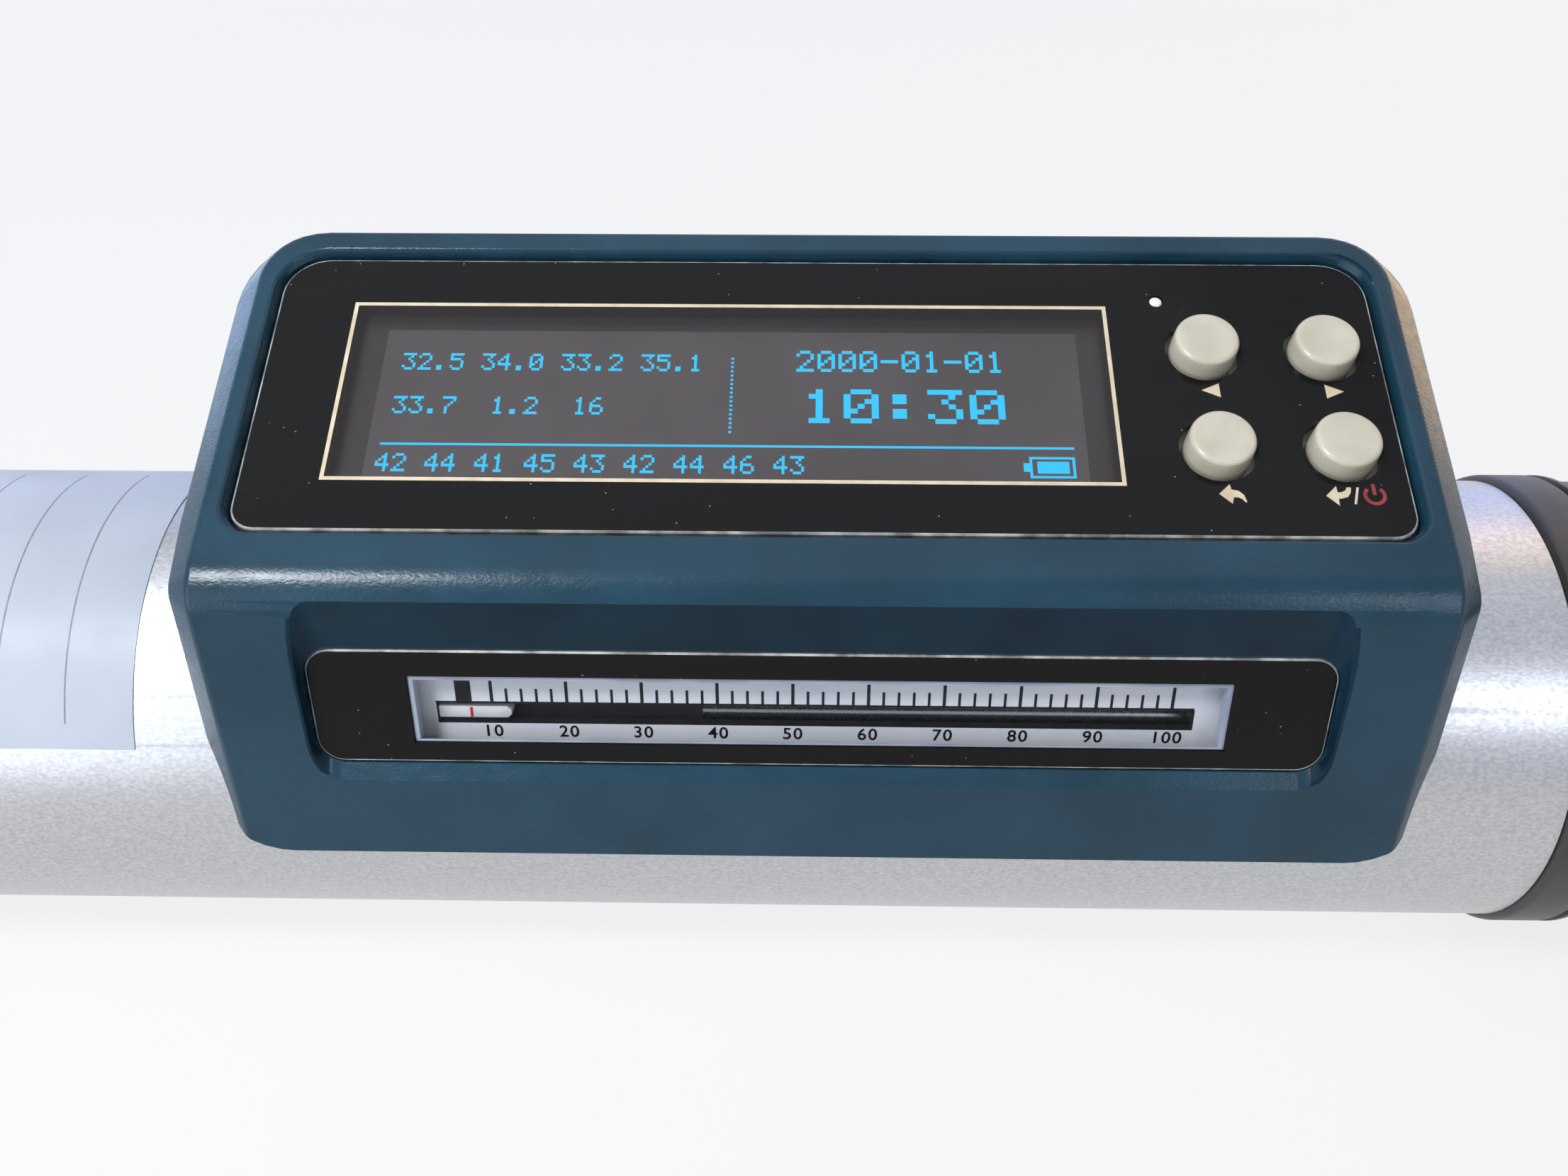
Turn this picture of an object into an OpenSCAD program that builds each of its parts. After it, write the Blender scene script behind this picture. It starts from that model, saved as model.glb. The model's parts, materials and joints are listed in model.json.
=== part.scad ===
// Concrete test hammer: a sprung hammer in a round barrel, with a rebound scale and a digital display.
// X runs along the barrel axis from the plunger to the rear cover, Z is up, and the scale faces -Y.
// The origin is on the barrel axis, in the middle of the front cap's guide wall.

/* [Barrel] */
// Outer diameter of the barrel tube
barrel_d = 50; // [48:0.5:52]
// Wall of the barrel tube
barrel_wall = 2.5; // [2.3:0.1:3]
// Length of the barrel tube between its caps
barrel_len = 241.8; // [240:0.2:250]

/* [Front cap] */
// Length of the cap in front of the barrel
cap_len = 14; // [12:1:16]
// Length of the cap's spigot inside the barrel
cap_spigot_len = 6; // [5:0.5:8]
// Chamfer round the front face
cap_chamfer = 2; // [1:0.5:3]
// How far the cap's guide wall stands in from the barrel
cap_step = 0.5; // [0.3:0.1:2]
// Outer diameter of the felt wiper
felt_d = 22; // [20:1:26]
// Thickness of the felt wiper
felt_t = 3; // [2:0.5:4]

/* [Plunger] */
// Diameter of the impact plunger
plunger_d = 15; // [13:0.5:16]
// Length of plunger in front of the cap when it is out
plunger_out = 90; // [80:1:100]
// Distance from the front face to the plunger's inner end
plunger_in = 28; // [27:0.5:30]
// Radius of the spherical plunger tip
tip_r = 25; // [20:1:40]
// Diameter of the collar that stays behind the cap
collar_d = 19; // [18:0.5:20]
// Diameter of the guide bar
guide_bar_d = 8; // [7:0.5:9]

/* [Hammer] */
// Room for the rider between the hammer mass and the bore
rider_room = 4.5; // [4.3:0.1:5.5]
// Length of the hammer mass
hammer_len = 57; // [52:1:60]
// Length of the hammer's narrow nose
nose_len = 6; // [5:0.5:8]
// Mean diameter of the impact spring
impact_spring_d = 27; // [26:0.5:29]
// Wire of the impact spring
impact_wire = 2.2; // [1.8:0.1:2.4]
// Number of turns of the impact spring
impact_turns = 20; // [14:1:20]
// Length of the impact spring's seat
seat_len = 8; // [7:0.5:9]

/* [Guide disc and pawl] */
// Play of the guide disc in the bore
disc_play = 0.8; // [0.5:0.1:1.5]
// Thickness of the guide disc
disc_t = 10; // [8:0.5:10]
// Gap between the hammer and the disc
disc_gap = 2; // [1:0.5:3]
// Thickness of the pawl
pawl_t = 4; // [3:0.5:5]
// Diameter of the pawl pin
pawl_pin_d = 3; // [2.5:0.1:3.5]

/* [Rear cover] */
// Length of the rear cover behind the barrel
cover_len = 22.2; // [20:0.5:26]
// How far the cover's rim stands proud of the barrel
cover_proud = 0.7; // [0.3:0.1:1.2]
// Thickness of the cover's end wall
cover_end = 10; // [9:0.5:11]
// Diameter of the trip screw
trip_d = 8; // [6:0.5:9]
// Distance from the barrel's rear end to the trip screw's nose
trip_set = 2.8; // [1:0.1:5]
// Mean diameter of the return spring
return_spring_d = 34; // [33:0.5:35]
// Wire of the return spring
return_wire = 1.6; // [1.2:0.1:1.7]
// Number of turns of the return spring
return_turns = 11; // [8:1:11]

/* [Rider] */
// Distance from the rider's line to its foot
rider_reach = 20; // [18:0.5:22]
// Scale reading where the rider rests
rest_reading = 7.1; // [0:0.1:40]
// Diameter of the rider's rod
rider_rod_d = 2.4; // [2:0.1:2.6]
// Distance of the rod's axis from the bore
rider_rod_sink = 1.7; // [1.5:0.05:1.9]
// Width of the rider's slot in the barrel
rider_slot_w = 5; // [4.5:0.1:6]
// Length of the rider's pointer block
pointer_len = 7.3; // [6:0.1:9]

/* [Scale] */
// Tilt of the scale plate from the horizontal
scale_tilt = 79.6; // [78:0.1:81]
// How far the scale plate's face lies below the barrel's surface
scale_sink = 1.98; // [1.6:0.01:2.1]
// Height of the tick tops above the foot of that distance
scale_rise = 14.68; // [14:0.01:15]
// Width of the scale panel at each end of the window
scale_panel_side = 9.75; // [8:0.25:11]
// Height of the scale panel below the tick tops
scale_panel_low = 8; // [7.5:0.1:8.4]
// Height of the scale panel above the tick tops
scale_panel_high = 4.85; // [4.5:0.05:5.2]
// Length of the window beyond the stroke
window_spare = 5; // [3:0.5:10]
// Height of the window below the tick tops
window_low = 5.75; // [5.5:0.05:6.2]
// Height of the window above the tick tops
window_high = 1.95; // [1.5:0.05:2.4]
// Width of the rider's slot in the scale plate
scale_slot_w = 2.24; // [2:0.02:2.5]
// Length of the scale's slot beyond the stroke
scale_slot_spare = 0.3; // [0:0.1:1]
// Distance from the middle of the scale to the middle of the faces
face_shift = 2.5; // [0:0.1:4]

/* [Housing] */
// Length of the display housing
housing_len = 124.4; // [122:0.2:130]
// Tilt of the display face from the horizontal
display_tilt = 23.4; // [22:0.1:25]
// Tilt of the front face from the horizontal
front_tilt = 83.5; // [82.5:0.1:84.5]
// Tilt of the back wall from the horizontal
back_tilt = 99; // [96:0.5:100]
// Height of the display glass's plane above the barrel's surface
display_lift = 10.27; // [9.8:0.01:11]
// Wall of the housing at its sides and back
housing_wall = 2.5; // [2:0.1:3]
// How far the housing's foot stands proud of the barrel
foot_proud = 1.2; // [0.8:0.1:2]
// Chamfer along the housing's edges
housing_chamfer = 3; // [2:0.1:3.5]
// Corner radius of the housing's outline
housing_corner = 8; // [6:0.5:9]
// Radius of the ridge between the display face and the front face
ridge_r = 5; // [3:0.5:7]
// Radius along the top of the back wall
top_r = 4; // [3:0.5:6]

/* [Display] */
// Width of the housing's rim at each end of the display panel
display_side = 5.75; // [5:0.05:6.5]
// Height of the display panel
display_h = 33.5; // [33:0.1:34.5]
// Thickness of the two glossy panels
panel_t = 1.5; // [1.2:0.1:1.6]
// Length of the display panel kept for the keys
key_zone = 24.1; // [23.5:0.1:26]
// Height of the display glass
glass_h = 24.5; // [22:0.5:25]
// Diameter of a key
key_d = 7; // [6:0.1:7.4]
// Height of a key above the panel
key_proud = 2.3; // [1.5:0.1:3]
// Distance between two keys
key_pitch = 12; // [11:0.1:12.4]
// Travel of a key
key_travel = 0.5; // [0.3:0.1:0.6]

/* [Lock button] */
// Diameter of the lock button
button_d = 9; // [8:0.5:10]
// Thickness of the lock button's head
button_head_t = 2.4; // [2:0.1:3]
// Travel of the lock button
button_travel = 3.3; // [2.5:0.1:3.4]

/* [Hidden] */
$fn = 64;

// Shared gaps: overrun of a cut, running fit, free gap between moving pieces, gap between still pieces
over = 1;
run_gap = 0.05;
free_gap = 0.35;
seat_gap = 0.1;

// Places along the barrel
barrel_r = barrel_d / 2;
bore_r = barrel_r - barrel_wall;
front_x = -(cap_chamfer + cap_len) / 2;
barrel_x = front_x + cap_len;
rear_x = barrel_x + barrel_len;
end_x = rear_x + cover_len;
plunger_x = front_x - plunger_out;
plunger_r = plunger_d / 2;
plunger_end_x = front_x + plunger_in;

// Stroke: what the barrel leaves between the plunger and the trip screw is gone over twice
pawl_back = 5;
pawl_hub_r = 3.4;
tail_t = 2.2;
trip_nose_gap = 1;
trip_x = rear_x + trip_set;
stroke = (trip_x - trip_nose_gap - tail_t - pawl_hub_r - pawl_back - disc_t - disc_gap - hammer_len
    - plunger_end_x) / 2;
hammer_x = plunger_end_x + stroke;
hammer_r = bore_r - rider_room;
hammer_end_x = hammer_x + hammer_len;
disc_x = hammer_end_x + disc_gap;
disc_end_x = disc_x + disc_t;
disc_r = bore_r - disc_play;
cover_face_x = end_x - cover_end;

// Frames of the two faces, as points and directions in the Y-Z plane, and the direction of the rider's slot
// in steps of a tenth of a degree
display_n = [-sin(display_tilt), cos(display_tilt)];
display_u = [cos(display_tilt), sin(display_tilt)];
display_rise = 10.22;
display_o = display_n * (barrel_r + display_lift) + display_u * display_rise;
scale_n = [-sin(scale_tilt), cos(scale_tilt)];
scale_u = [cos(scale_tilt), sin(scale_tilt)];
scale_off = barrel_r - scale_sink;
scale_o = scale_n * scale_off + scale_u * scale_rise;
scale_slot_y = -3.8;
slot_o = scale_o + scale_u * scale_slot_y;
angle_steps = 10;
rider_angle = round(atan2(slot_o[1], slot_o[0]) * angle_steps) / angle_steps;

// Facets of the springs: a ring of six points every eighth of a turn
coil_sides = 6;
coil_rings = 8;

// Front cap, felt, collar and split ring
cap_r = barrel_r - cap_step;
spigot_end_x = barrel_x + cap_spigot_len;
felt_x = front_x + cap_chamfer * 2;
ring_t = 2;
ring_depth = 0.8;
collar_x = spigot_end_x + free_gap + ring_t;
seat_x = spigot_end_x;
seat_hub_r = coil_inner_r(impact_spring_d, impact_wire) - free_gap;
seat_flange_share = 0.4;
seat_bore_r = collar_d / 2 + free_gap;

// Plunger: groove that marks the end of its guided stretch, and the bore for the cushion spring
plunger_groove_w = 2;
plunger_groove_depth = 0.4;
guide_bar_r = guide_bar_d / 2;
guide_bar_in = 16;
cushion_len = 12;
cushion_wire = 0.9;
cushion_turns = 6;

// Hammer: nose that holds the spring, pocket and lip that the pawl hooks
nose_r = coil_inner_r(impact_spring_d, impact_wire) - free_gap;
pocket_r = 15;
pocket_len = 11;
lip_r = 9;
lip_t = 3;
neck_r = 7;

// Pawl and the lugs that carry it
pawl_x = disc_end_x + pawl_back;
pawl_z = -9;
pawl_arm_t = 2.4;
hook_len = 4;
hook_z = -(lip_r + free_gap);
hook_back_x = hammer_end_x - lip_t - free_gap * 2;
arm_z = -12.8;
tail_x = pawl_x + pawl_hub_r;
tail_top_z = 2;
lug_t = 2.5;
lug_r = 4;
pawl_window_low = -15.8;
pawl_window_high = -8.4;
pawl_spring_wire = 0.5;
pawl_spring_d = 3.6;
pawl_spring_turns = 5;
pawl_spring_z = -1.4;

// Rear cover and trip screw
cover_r = barrel_r + cover_proud;
cover_chamfer = 0.8;
cover_band = 7;
cover_groove_w = 0.8;
cover_groove_depth = 0.6;
cover_round = 9;
cover_wall = 3;
cover_spigot_len = 6.3;
trip_slot_w = 1.2;
trip_slot_depth = 1.5;
nut_af_share = 1.7;
nut_t = 4;
nut_recess_d = 20;
nut_recess_depth = 5;

// Lock button, opposite the rider's slot
button_angle = rider_angle - 180;
button_pin_d = 5;
button_x = disc_x + stroke - free_gap * 2 - button_pin_d / 2;
bush_d = 13;
bush_out = 2;
bush_sink = 1;
bush_flat_r = barrel_r - bush_sink;
button_spring_wire = 0.6;
button_spring_turns = 3;
button_spring_r = (button_pin_d + button_d) / 4;
button_spring_solid = (button_spring_turns + 1) * button_spring_wire;
button_pin_end_r = disc_r + free_gap;
button_head_r = barrel_r + 2 * seat_gap + button_spring_solid + button_travel;

// Rider and scale
zero_x = hammer_end_x - rider_reach;
scale_slot_len = stroke + scale_slot_spare;
window_len = stroke + window_spare;
scale_panel_len = window_len + 2 * scale_panel_side;
full_x = zero_x + stroke;
line_x = zero_x + rest_reading * stroke / 100;
rider_w = 4;
rider_rod_r = bore_r - rider_rod_sink;
rider_low_r = hammer_r + free_gap;
rider_top_gap = 0.3;
rider_high_r = bore_r - rider_top_gap;
rider_foot_t = 3;
stop_gap = 0.1;
pointer_w = 1.3;
pointer_t = 1.4;
pointer_sink = 0.2;
pointer_line_share = 0.45;
pointer_chamfer = 0.5;
rider_neck_w = 1.8;
pointer_x = line_x - pointer_len * pointer_line_share;
rider_end_x = line_x + rider_reach + rider_foot_t;
slot_x = pointer_x - stop_gap;
rider_travel = scale_slot_len - pointer_len - 2 * stop_gap;
clip_t = 4;
clip_w = 5;
clip_gap = 2;
rod_x0 = pointer_x - clip_gap - clip_t;
rod_x1 = rider_end_x + rider_travel + clip_gap + clip_t;
scale_t = 1;
scale_plate_margin = 3;
face_mid_x = zero_x + stroke / 2 + face_shift;
window_x0 = face_mid_x - window_len / 2;
window_x1 = face_mid_x + window_len / 2;
panel_lift = 2.5;
pane_t = 0.6;
bezel_w = 0.6;
bezel_sink = 0.25;
panel_corner = 2.6;

// Housing outline
corner_steps = 6;
inner_r = 1;
housing_x = face_mid_x - housing_len / 2;
housing_end_x = housing_x + housing_len;
display_wall = 4;
front_wall = 5.2;
rim_lift = 2.8;
display_panel_lift = 2;
ridge_low = 11.3;
housing_base_z = 0.3;
outline_reach = 200;
panel_gap = 0.4;
display_ledge = 1.2;
display_corner_low = 3;
display_corner_high = 5;
recess_slope = 4;
display_x = housing_x + display_side;
display_len = housing_len - 2 * display_side;

// Display innards, in the display face's own frame
glass_t = 1.6;
glass_inset = 4.8;
glass_x = display_x + glass_inset;
glass_len = display_len - glass_inset - key_zone;
glass_low = -7.5;
board_t = 1.6;
board_drop = 3.6;
board_margin = 0.8;
board_low = -9.2;
board_high = 19.6;
post_d = 4.4;
post_inset = 2.2;
post_low = 3.2;
screw_d = 2.2;
screw_head_d = 4;
screw_head_t = 1.4;
key_mid_y = 4.8;
key_inset = 11.75;
key_col_x = display_x + display_len - key_inset;
key_flange = 0.6;
key_flange_t = 0.8;
key_stem_share = 0.5;
switch_w = 6;
switch_t = 2.2;
light_d = 1.4;
light_y = 17.1;
light_lead = 10.05;
light_x = key_col_x - light_lead;
usb_w = 7.8;
usb_h = 3.6;
usb_len = 9;
usb_wall = 0.5;
usb_place = 60;
usb_x = glass_x + usb_place;
usb_out = 4;
usb_gap = 0.15;

// Battery, sensor and screws
cell_d = 10.5;
cell_len = 44.5;
cell_gap = 2;
cell_y = 12.8;
cell_lift = 0.8;
cell_inset = 8;
cell_x = housing_x + cell_inset;
cell_z = sqrt(pow(barrel_r + cell_d / 2 + cell_lift, 2) - pow(cell_y, 2));
cradle_w = 11;
cradle_side = 4;
sensor_low = 3.4;
sensor_high = 9.4;
sensor_t = 1.2;
back_screw_z = 6;
back_screw_d = 3;
back_screw_head_d = 5.6;
back_screw_head_t = 1.6;
back_screw_inset = 14;
back_screw_len = 3.2;
film_t = 0.12;
film_len = 28;
film_gap = 6.9;
film_arc = 90;
film_low_angle = 153.4;

// Feet of the housing and the ends of the display panel
front_foot = [-(barrel_r + foot_proud), housing_base_z];
back_foot = [barrel_r + foot_proud, housing_base_z];
display_low = -ridge_low;
display_high = display_low + display_h;

function dir(a) = [cos(a), sin(a)];
function meet(p, a, q, b) = p + dir(a) * cross(q - p, dir(b)) / cross(dir(a), dir(b));
function inside(p, a, depth) = p + depth * [sin(a), -cos(a)];

// Arc that rounds the corner from one line to the next, both followed clockwise round the section
function bend(p, a, q, b, r) =
    let (c = meet(inside(p, a, r), a, inside(q, b, r), b))
    [for (i = [0:corner_steps]) let (t = a + (b - a) * i / corner_steps) c + r * [-sin(t), cos(t)]];

// Housing section with its front, display and back walls moved in by the given depths
function section(front, top, back, base, low_r, high_r) =
    let (
        f = inside(front_foot, front_tilt, front),
        d = inside(display_o + display_n * rim_lift, display_tilt, top),
        b = inside(back_foot, back_tilt - 180, back),
        z = [0, base]
    )
    concat([meet(z, 0, f, front_tilt)], bend(f, front_tilt, d, display_tilt, low_r),
        bend(d, display_tilt, b, back_tilt - 180, high_r), [meet(b, back_tilt, z, 0)]);

// Rectangle with round corners, of one radius below and one above
function arc(c, r, from) = [for (i = [0:corner_steps]) c + r * dir(from + 90 * i / corner_steps)];
function round_rect(x0, x1, y0, y1, low_r, high_r) = concat(
    arc([x0 + low_r, y0 + low_r], low_r, 180), arc([x1 - low_r, y0 + low_r], low_r, 270),
    arc([x1 - high_r, y1 - high_r], high_r, 0), arc([x0 + high_r, y1 - high_r], high_r, 90));

// Points of a coil along X, the gap between its turns and the room inside it
function coil_point(r, wire, pitch, i, j) =
    let (
        a = 360 * i / coil_rings,
        slope = pitch / (2 * PI),
        side = [-r, -slope * sin(a), slope * cos(a)] / norm([r, slope]),
        out = [0, cos(a), sin(a)]
    )
    let (b = 360 * j / coil_sides)
    [pitch * i / coil_rings, 0, 0] + r * out + wire / 2 * (cos(b) * out + sin(b) * side);
function coil_gap(r, wire, len, turns) = (len - wire) / turns - wire;
function coil_inner_r(d, wire) = (d - wire) / 2 * cos(180 / coil_rings);

// Coil of wire along X that fills the given length
module coil(x, r, wire, len, turns) {
    pitch = (len - wire) / turns;
    last = turns * coil_rings;
    points = [for (i = [0:last]) for (j = [0:coil_sides - 1]) coil_point(r, wire, pitch, i, j)];
    walls = [
        for (i = [0:last - 1]) for (j = [0:coil_sides - 1])
            let (a = i * coil_sides + j, b = i * coil_sides + (j + 1) % coil_sides)
            each [[a, b, a + coil_sides], [b, b + coil_sides, a + coil_sides]]
    ];
    first_cap = [for (j = [1:coil_sides - 2]) [0, j + 1, j]];
    base = last * coil_sides;
    last_cap = [for (j = [1:coil_sides - 2]) [base, base + j, base + j + 1]];
    translate([x + wire / 2, 0, 0]) polyhedron(points, concat(walls, first_cap, last_cap));
}

module along_x(x) {
    translate([x, 0, 0]) rotate([0, 90, 0]) children();
}

module rod_x(x, len, r) {
    along_x(x) cylinder(h = len, r = r);
}

module ring_x(x, len, r, hole) {
    difference() {
        rod_x(x, len, r);
        rod_x(x - over, len + 2 * over, hole);
    }
}

// Extrusion along X of an outline in the Y-Z plane
module extrude_x(x, len) {
    translate([x, 0, 0]) rotate([90, 0, 90]) linear_extrude(len) children();
}

// Own frames of the display face and the scale face: Y up the face, Z out of it
module on_display() {
    translate([0, display_o[0], display_o[1]]) rotate([display_tilt, 0, 0]) children();
}

module on_scale() {
    translate([0, scale_o[0], scale_o[1]]) rotate([scale_tilt, 0, 0]) children();
}

module on_front() {
    translate([0, front_foot[0], front_foot[1]]) rotate([front_tilt, 0, 0]) children();
}

// Slab in a face's frame, from one corner to the other
module slab(low, high) {
    translate(low) cube(high - low);
}

// Frame whose Z points out of the barrel in the given direction about its axis
module out_of_barrel(x, angle) {
    translate([x, 0, 0]) rotate([angle - 90, 0, 0]) children();
}

module round_plate(x0, x1, y0, y1, z0, t, low_r, high_r) {
    translate([0, 0, z0]) linear_extrude(t) polygon(round_rect(x0, x1, y0, y1, low_r, high_r));
}

module barrel_tube() {
    color("#b9b9bb") difference() {
        ring_x(barrel_x, barrel_len, barrel_r, bore_r);
        out_of_barrel(zero_x, rider_angle)
            slab([slot_x - zero_x - over, -rider_slot_w / 2, bore_r - rider_slot_w],
                 [slot_x - zero_x + scale_slot_len + over, rider_slot_w / 2, barrel_r + over]);
        on_scale() {
            plate_body(seat_gap, over);
            scale_panel_body(seat_gap, panel_lift);
        }
        out_of_barrel(button_x, button_angle) cylinder(h = barrel_d, r = button_pin_d / 2 + free_gap);
        out_of_barrel(button_x, button_angle) translate([0, 0, bush_flat_r])
            cylinder(h = barrel_r, r = bush_d / 2);
        back_screw_holes();
    }
}

module barrel_film() {
    x = housing_x - film_gap - film_len;
    color("#c4c6ca") along_x(x)
        rotate([0, 0, film_low_angle - film_arc + 90])
        rotate_extrude(angle = film_arc) translate([barrel_r, 0]) square([film_t, film_len]);
}

module front_cap() {
    color("#9a9a9c") difference() {
        union() {
            rod_x(front_x + cap_chamfer, cap_len - cap_chamfer, cap_r);
            along_x(front_x) cylinder(h = cap_chamfer, r1 = cap_r - cap_chamfer, r2 = cap_r);
            rod_x(barrel_x, cap_spigot_len, bore_r);
        }
        rod_x(front_x - over, cap_len + cap_spigot_len + 2 * over, plunger_r + run_gap);
        rod_x(felt_x, felt_t, felt_d / 2);
    }
}

module felt_wiper() {
    color("#4a4a48") ring_x(felt_x, felt_t, felt_d / 2, plunger_r + free_gap);
}

module spring_seat() {
    flange = seat_len * seat_flange_share;
    color("#8c8c8e") difference() {
        union() {
            rod_x(seat_x, flange, bore_r);
            rod_x(seat_x, seat_len, seat_hub_r);
        }
        rod_x(seat_x - over, seat_len + 2 * over, seat_bore_r);
    }
}

module rear_cover() {
    groove_x = rear_x + cover_band;
    color("#3a3534") difference() {
        union() {
            along_x(rear_x) rotate_extrude() polygon([
                [0, 0], [cover_r - cover_chamfer, 0], [cover_r, cover_chamfer], [cover_r, cover_band],
                [barrel_r, cover_band + cover_proud],
                each arc([barrel_r - cover_round, cover_len - cover_round], cover_round, 0),
                [0, cover_len]]);
            rod_x(rear_x - cover_spigot_len, cover_spigot_len, bore_r);
        }
        ring_x(groove_x - cover_groove_w * 2, cover_groove_w, cover_r + over, cover_r - cover_groove_depth);
        rod_x(rear_x - cover_spigot_len - over, cover_spigot_len + over + cover_len - cover_end,
            bore_r - cover_wall);
        rod_x(rear_x, cover_len + over, trip_d / 2);
        rod_x(end_x - nut_recess_depth, nut_recess_depth + over, nut_recess_d / 2);
    }
}

module trip_screw() {
    len = end_x - free_gap - trip_x;
    color("#6e6e70") difference() {
        rod_x(trip_x, len, trip_d / 2);
        translate([trip_x + len - trip_slot_depth, -trip_d, -trip_slot_w / 2])
            cube([trip_slot_depth + over, trip_d * 2, trip_slot_w]);
    }
}

module trip_lock_nut() {
    color("#77777a") difference() {
        along_x(end_x - nut_recess_depth)
            cylinder(h = nut_t, d = trip_d * nut_af_share / cos(30), $fn = 6);
        rod_x(end_x - nut_recess_depth - over, nut_t + 2 * over, trip_d / 2);
    }
}

module impact_plunger() {
    groove_x = front_x - plunger_groove_w;
    color("#a7a9ad") difference() {
        union() {
            rod_x(plunger_x, plunger_out + plunger_in, plunger_r);
            rod_x(collar_x, plunger_end_x - collar_x, collar_d / 2);
        }
        difference() {
            rod_x(plunger_x - over, tip_r + over, plunger_d);
            translate([plunger_x + tip_r, 0, 0]) sphere(r = tip_r);
        }
        ring_x(groove_x, plunger_groove_w, plunger_d, plunger_r - plunger_groove_depth);
        ring_x(collar_x - ring_t, ring_t, plunger_d, plunger_r - ring_depth);
        rod_x(plunger_end_x - guide_bar_in - cushion_len, guide_bar_in + cushion_len + over, guide_bar_r);
    }
}

module split_ring() {
    color("#55565a") difference() {
        ring_x(collar_x - ring_t, ring_t, collar_d / 2, plunger_r - ring_depth);
        translate([collar_x - ring_t - over, -collar_d, -seat_gap])
            cube([ring_t + 2 * over, collar_d * 2, seat_gap * 2]);
    }
}

module cushion_spring() {
    color("#8b8d92") coil(plunger_end_x - guide_bar_in - cushion_len + seat_gap,
        guide_bar_r - cushion_wire / 2 - seat_gap, cushion_wire, cushion_len - 2 * seat_gap, cushion_turns);
}

module guide_bar() {
    x = plunger_end_x - guide_bar_in;
    color("#b4b6ba") rod_x(x, disc_end_x - x, guide_bar_r);
}

module guide_disc() {
    lug_len = pawl_x + lug_r - disc_end_x;
    color("#8f8a80") difference() {
        union() {
            rod_x(disc_x, disc_t, disc_r);
            for (side = [-1, 1])
                translate([disc_end_x, side * (pawl_t / 2 + seat_gap + lug_t / 2), pawl_z])
                    translate([0, -lug_t / 2, -lug_r]) cube([lug_len, lug_t, lug_r * 2]);
        }
        rod_x(disc_x - over, disc_t + 2 * over, guide_bar_r);
        slab([disc_x - over, -pawl_t / 2 - seat_gap, pawl_window_low],
             [disc_end_x + over, pawl_t / 2 + seat_gap, pawl_window_high]);
        translate([pawl_x, -disc_r, pawl_z]) rotate([-90, 0, 0]) cylinder(h = disc_r * 2, d = pawl_pin_d);
        out_of_barrel(disc_x, rider_angle)
            slab([-over, -clip_w / 2 - over, rider_low_r - free_gap],
                 [disc_t + over, clip_w / 2 + over, barrel_d]);
    }
}

module hammer_mass() {
    color("#77797e") difference() {
        union() {
            rod_x(hammer_x, nose_len + over, nose_r);
            rod_x(hammer_x + nose_len, hammer_len - nose_len, hammer_r);
        }
        rod_x(hammer_x - over, hammer_len + 2 * over, guide_bar_r + run_gap);
        ring_x(hammer_end_x - pocket_len, pocket_len + over, pocket_r, lip_r);
        ring_x(hammer_end_x - pocket_len, pocket_len - lip_t, pocket_r, neck_r);
    }
}

module impact_spring() {
    x = seat_x + seat_len * seat_flange_share + seat_gap;
    len = hammer_x + nose_len - seat_gap - x;
    echo(impact_spring_gap = coil_gap(impact_spring_d / 2, impact_wire, len, impact_turns));
    color("#5d6066") coil(x, impact_spring_d / 2, impact_wire, len, impact_turns);
}

module return_spring() {
    len = cover_face_x - disc_end_x - 2 * seat_gap;
    echo(return_spring_gap = coil_gap(return_spring_d / 2, return_wire, len, return_turns));
    color("#5d6066") coil(disc_end_x + seat_gap, return_spring_d / 2, return_wire, len, return_turns);
}

// Side outline of the pawl: hook and arm towards the hammer, hub on the pin, tail on the axis
module pawl() {
    arm_top = arm_z + pawl_arm_t;
    color("#6a6c70") difference() {
        translate([0, pawl_t / 2, 0]) rotate([90, 0, 0]) linear_extrude(pawl_t) polygon([
            [hook_back_x - hook_len, arm_z], [tail_x, arm_z], [tail_x + tail_t, arm_z + tail_t],
            [tail_x + tail_t, tail_top_z], [tail_x, tail_top_z], [tail_x, pawl_z + pawl_hub_r],
            [pawl_x - pawl_hub_r, pawl_z + pawl_hub_r], [pawl_x - pawl_hub_r, arm_top],
            [hook_back_x, arm_top], [hook_back_x, hook_z], [hook_back_x - hook_len / 2, hook_z],
            [hook_back_x - hook_len, arm_top]]);
        translate([pawl_x, -pawl_t, pawl_z]) rotate([-90, 0, 0])
            cylinder(h = pawl_t * 2, r = pawl_pin_d / 2 + run_gap);
    }
}

module pawl_pin() {
    half = pawl_t / 2 + seat_gap + lug_t;
    color("#b0b2b6") translate([pawl_x, -half, pawl_z]) rotate([-90, 0, 0])
        cylinder(h = half * 2, d = pawl_pin_d);
}

module pawl_spring() {
    color("#8b8d92") translate([0, 0, pawl_spring_z])
        coil(disc_end_x + seat_gap, pawl_spring_d / 2, pawl_spring_wire,
            tail_x - disc_end_x - 2 * seat_gap, pawl_spring_turns);
}

module lock_bush() {
    color("#8c8c8e") out_of_barrel(button_x, button_angle) translate([0, 0, bush_flat_r]) difference() {
        cylinder(h = barrel_r - bush_flat_r + bush_out, d = bush_d);
        translate([0, 0, -over]) cylinder(h = barrel_r, r = button_pin_d / 2 + run_gap);
        translate([0, 0, bush_sink])
            cylinder(h = bush_out + over, r = button_spring_r + button_spring_wire / 2 + free_gap);
    }
}

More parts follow.
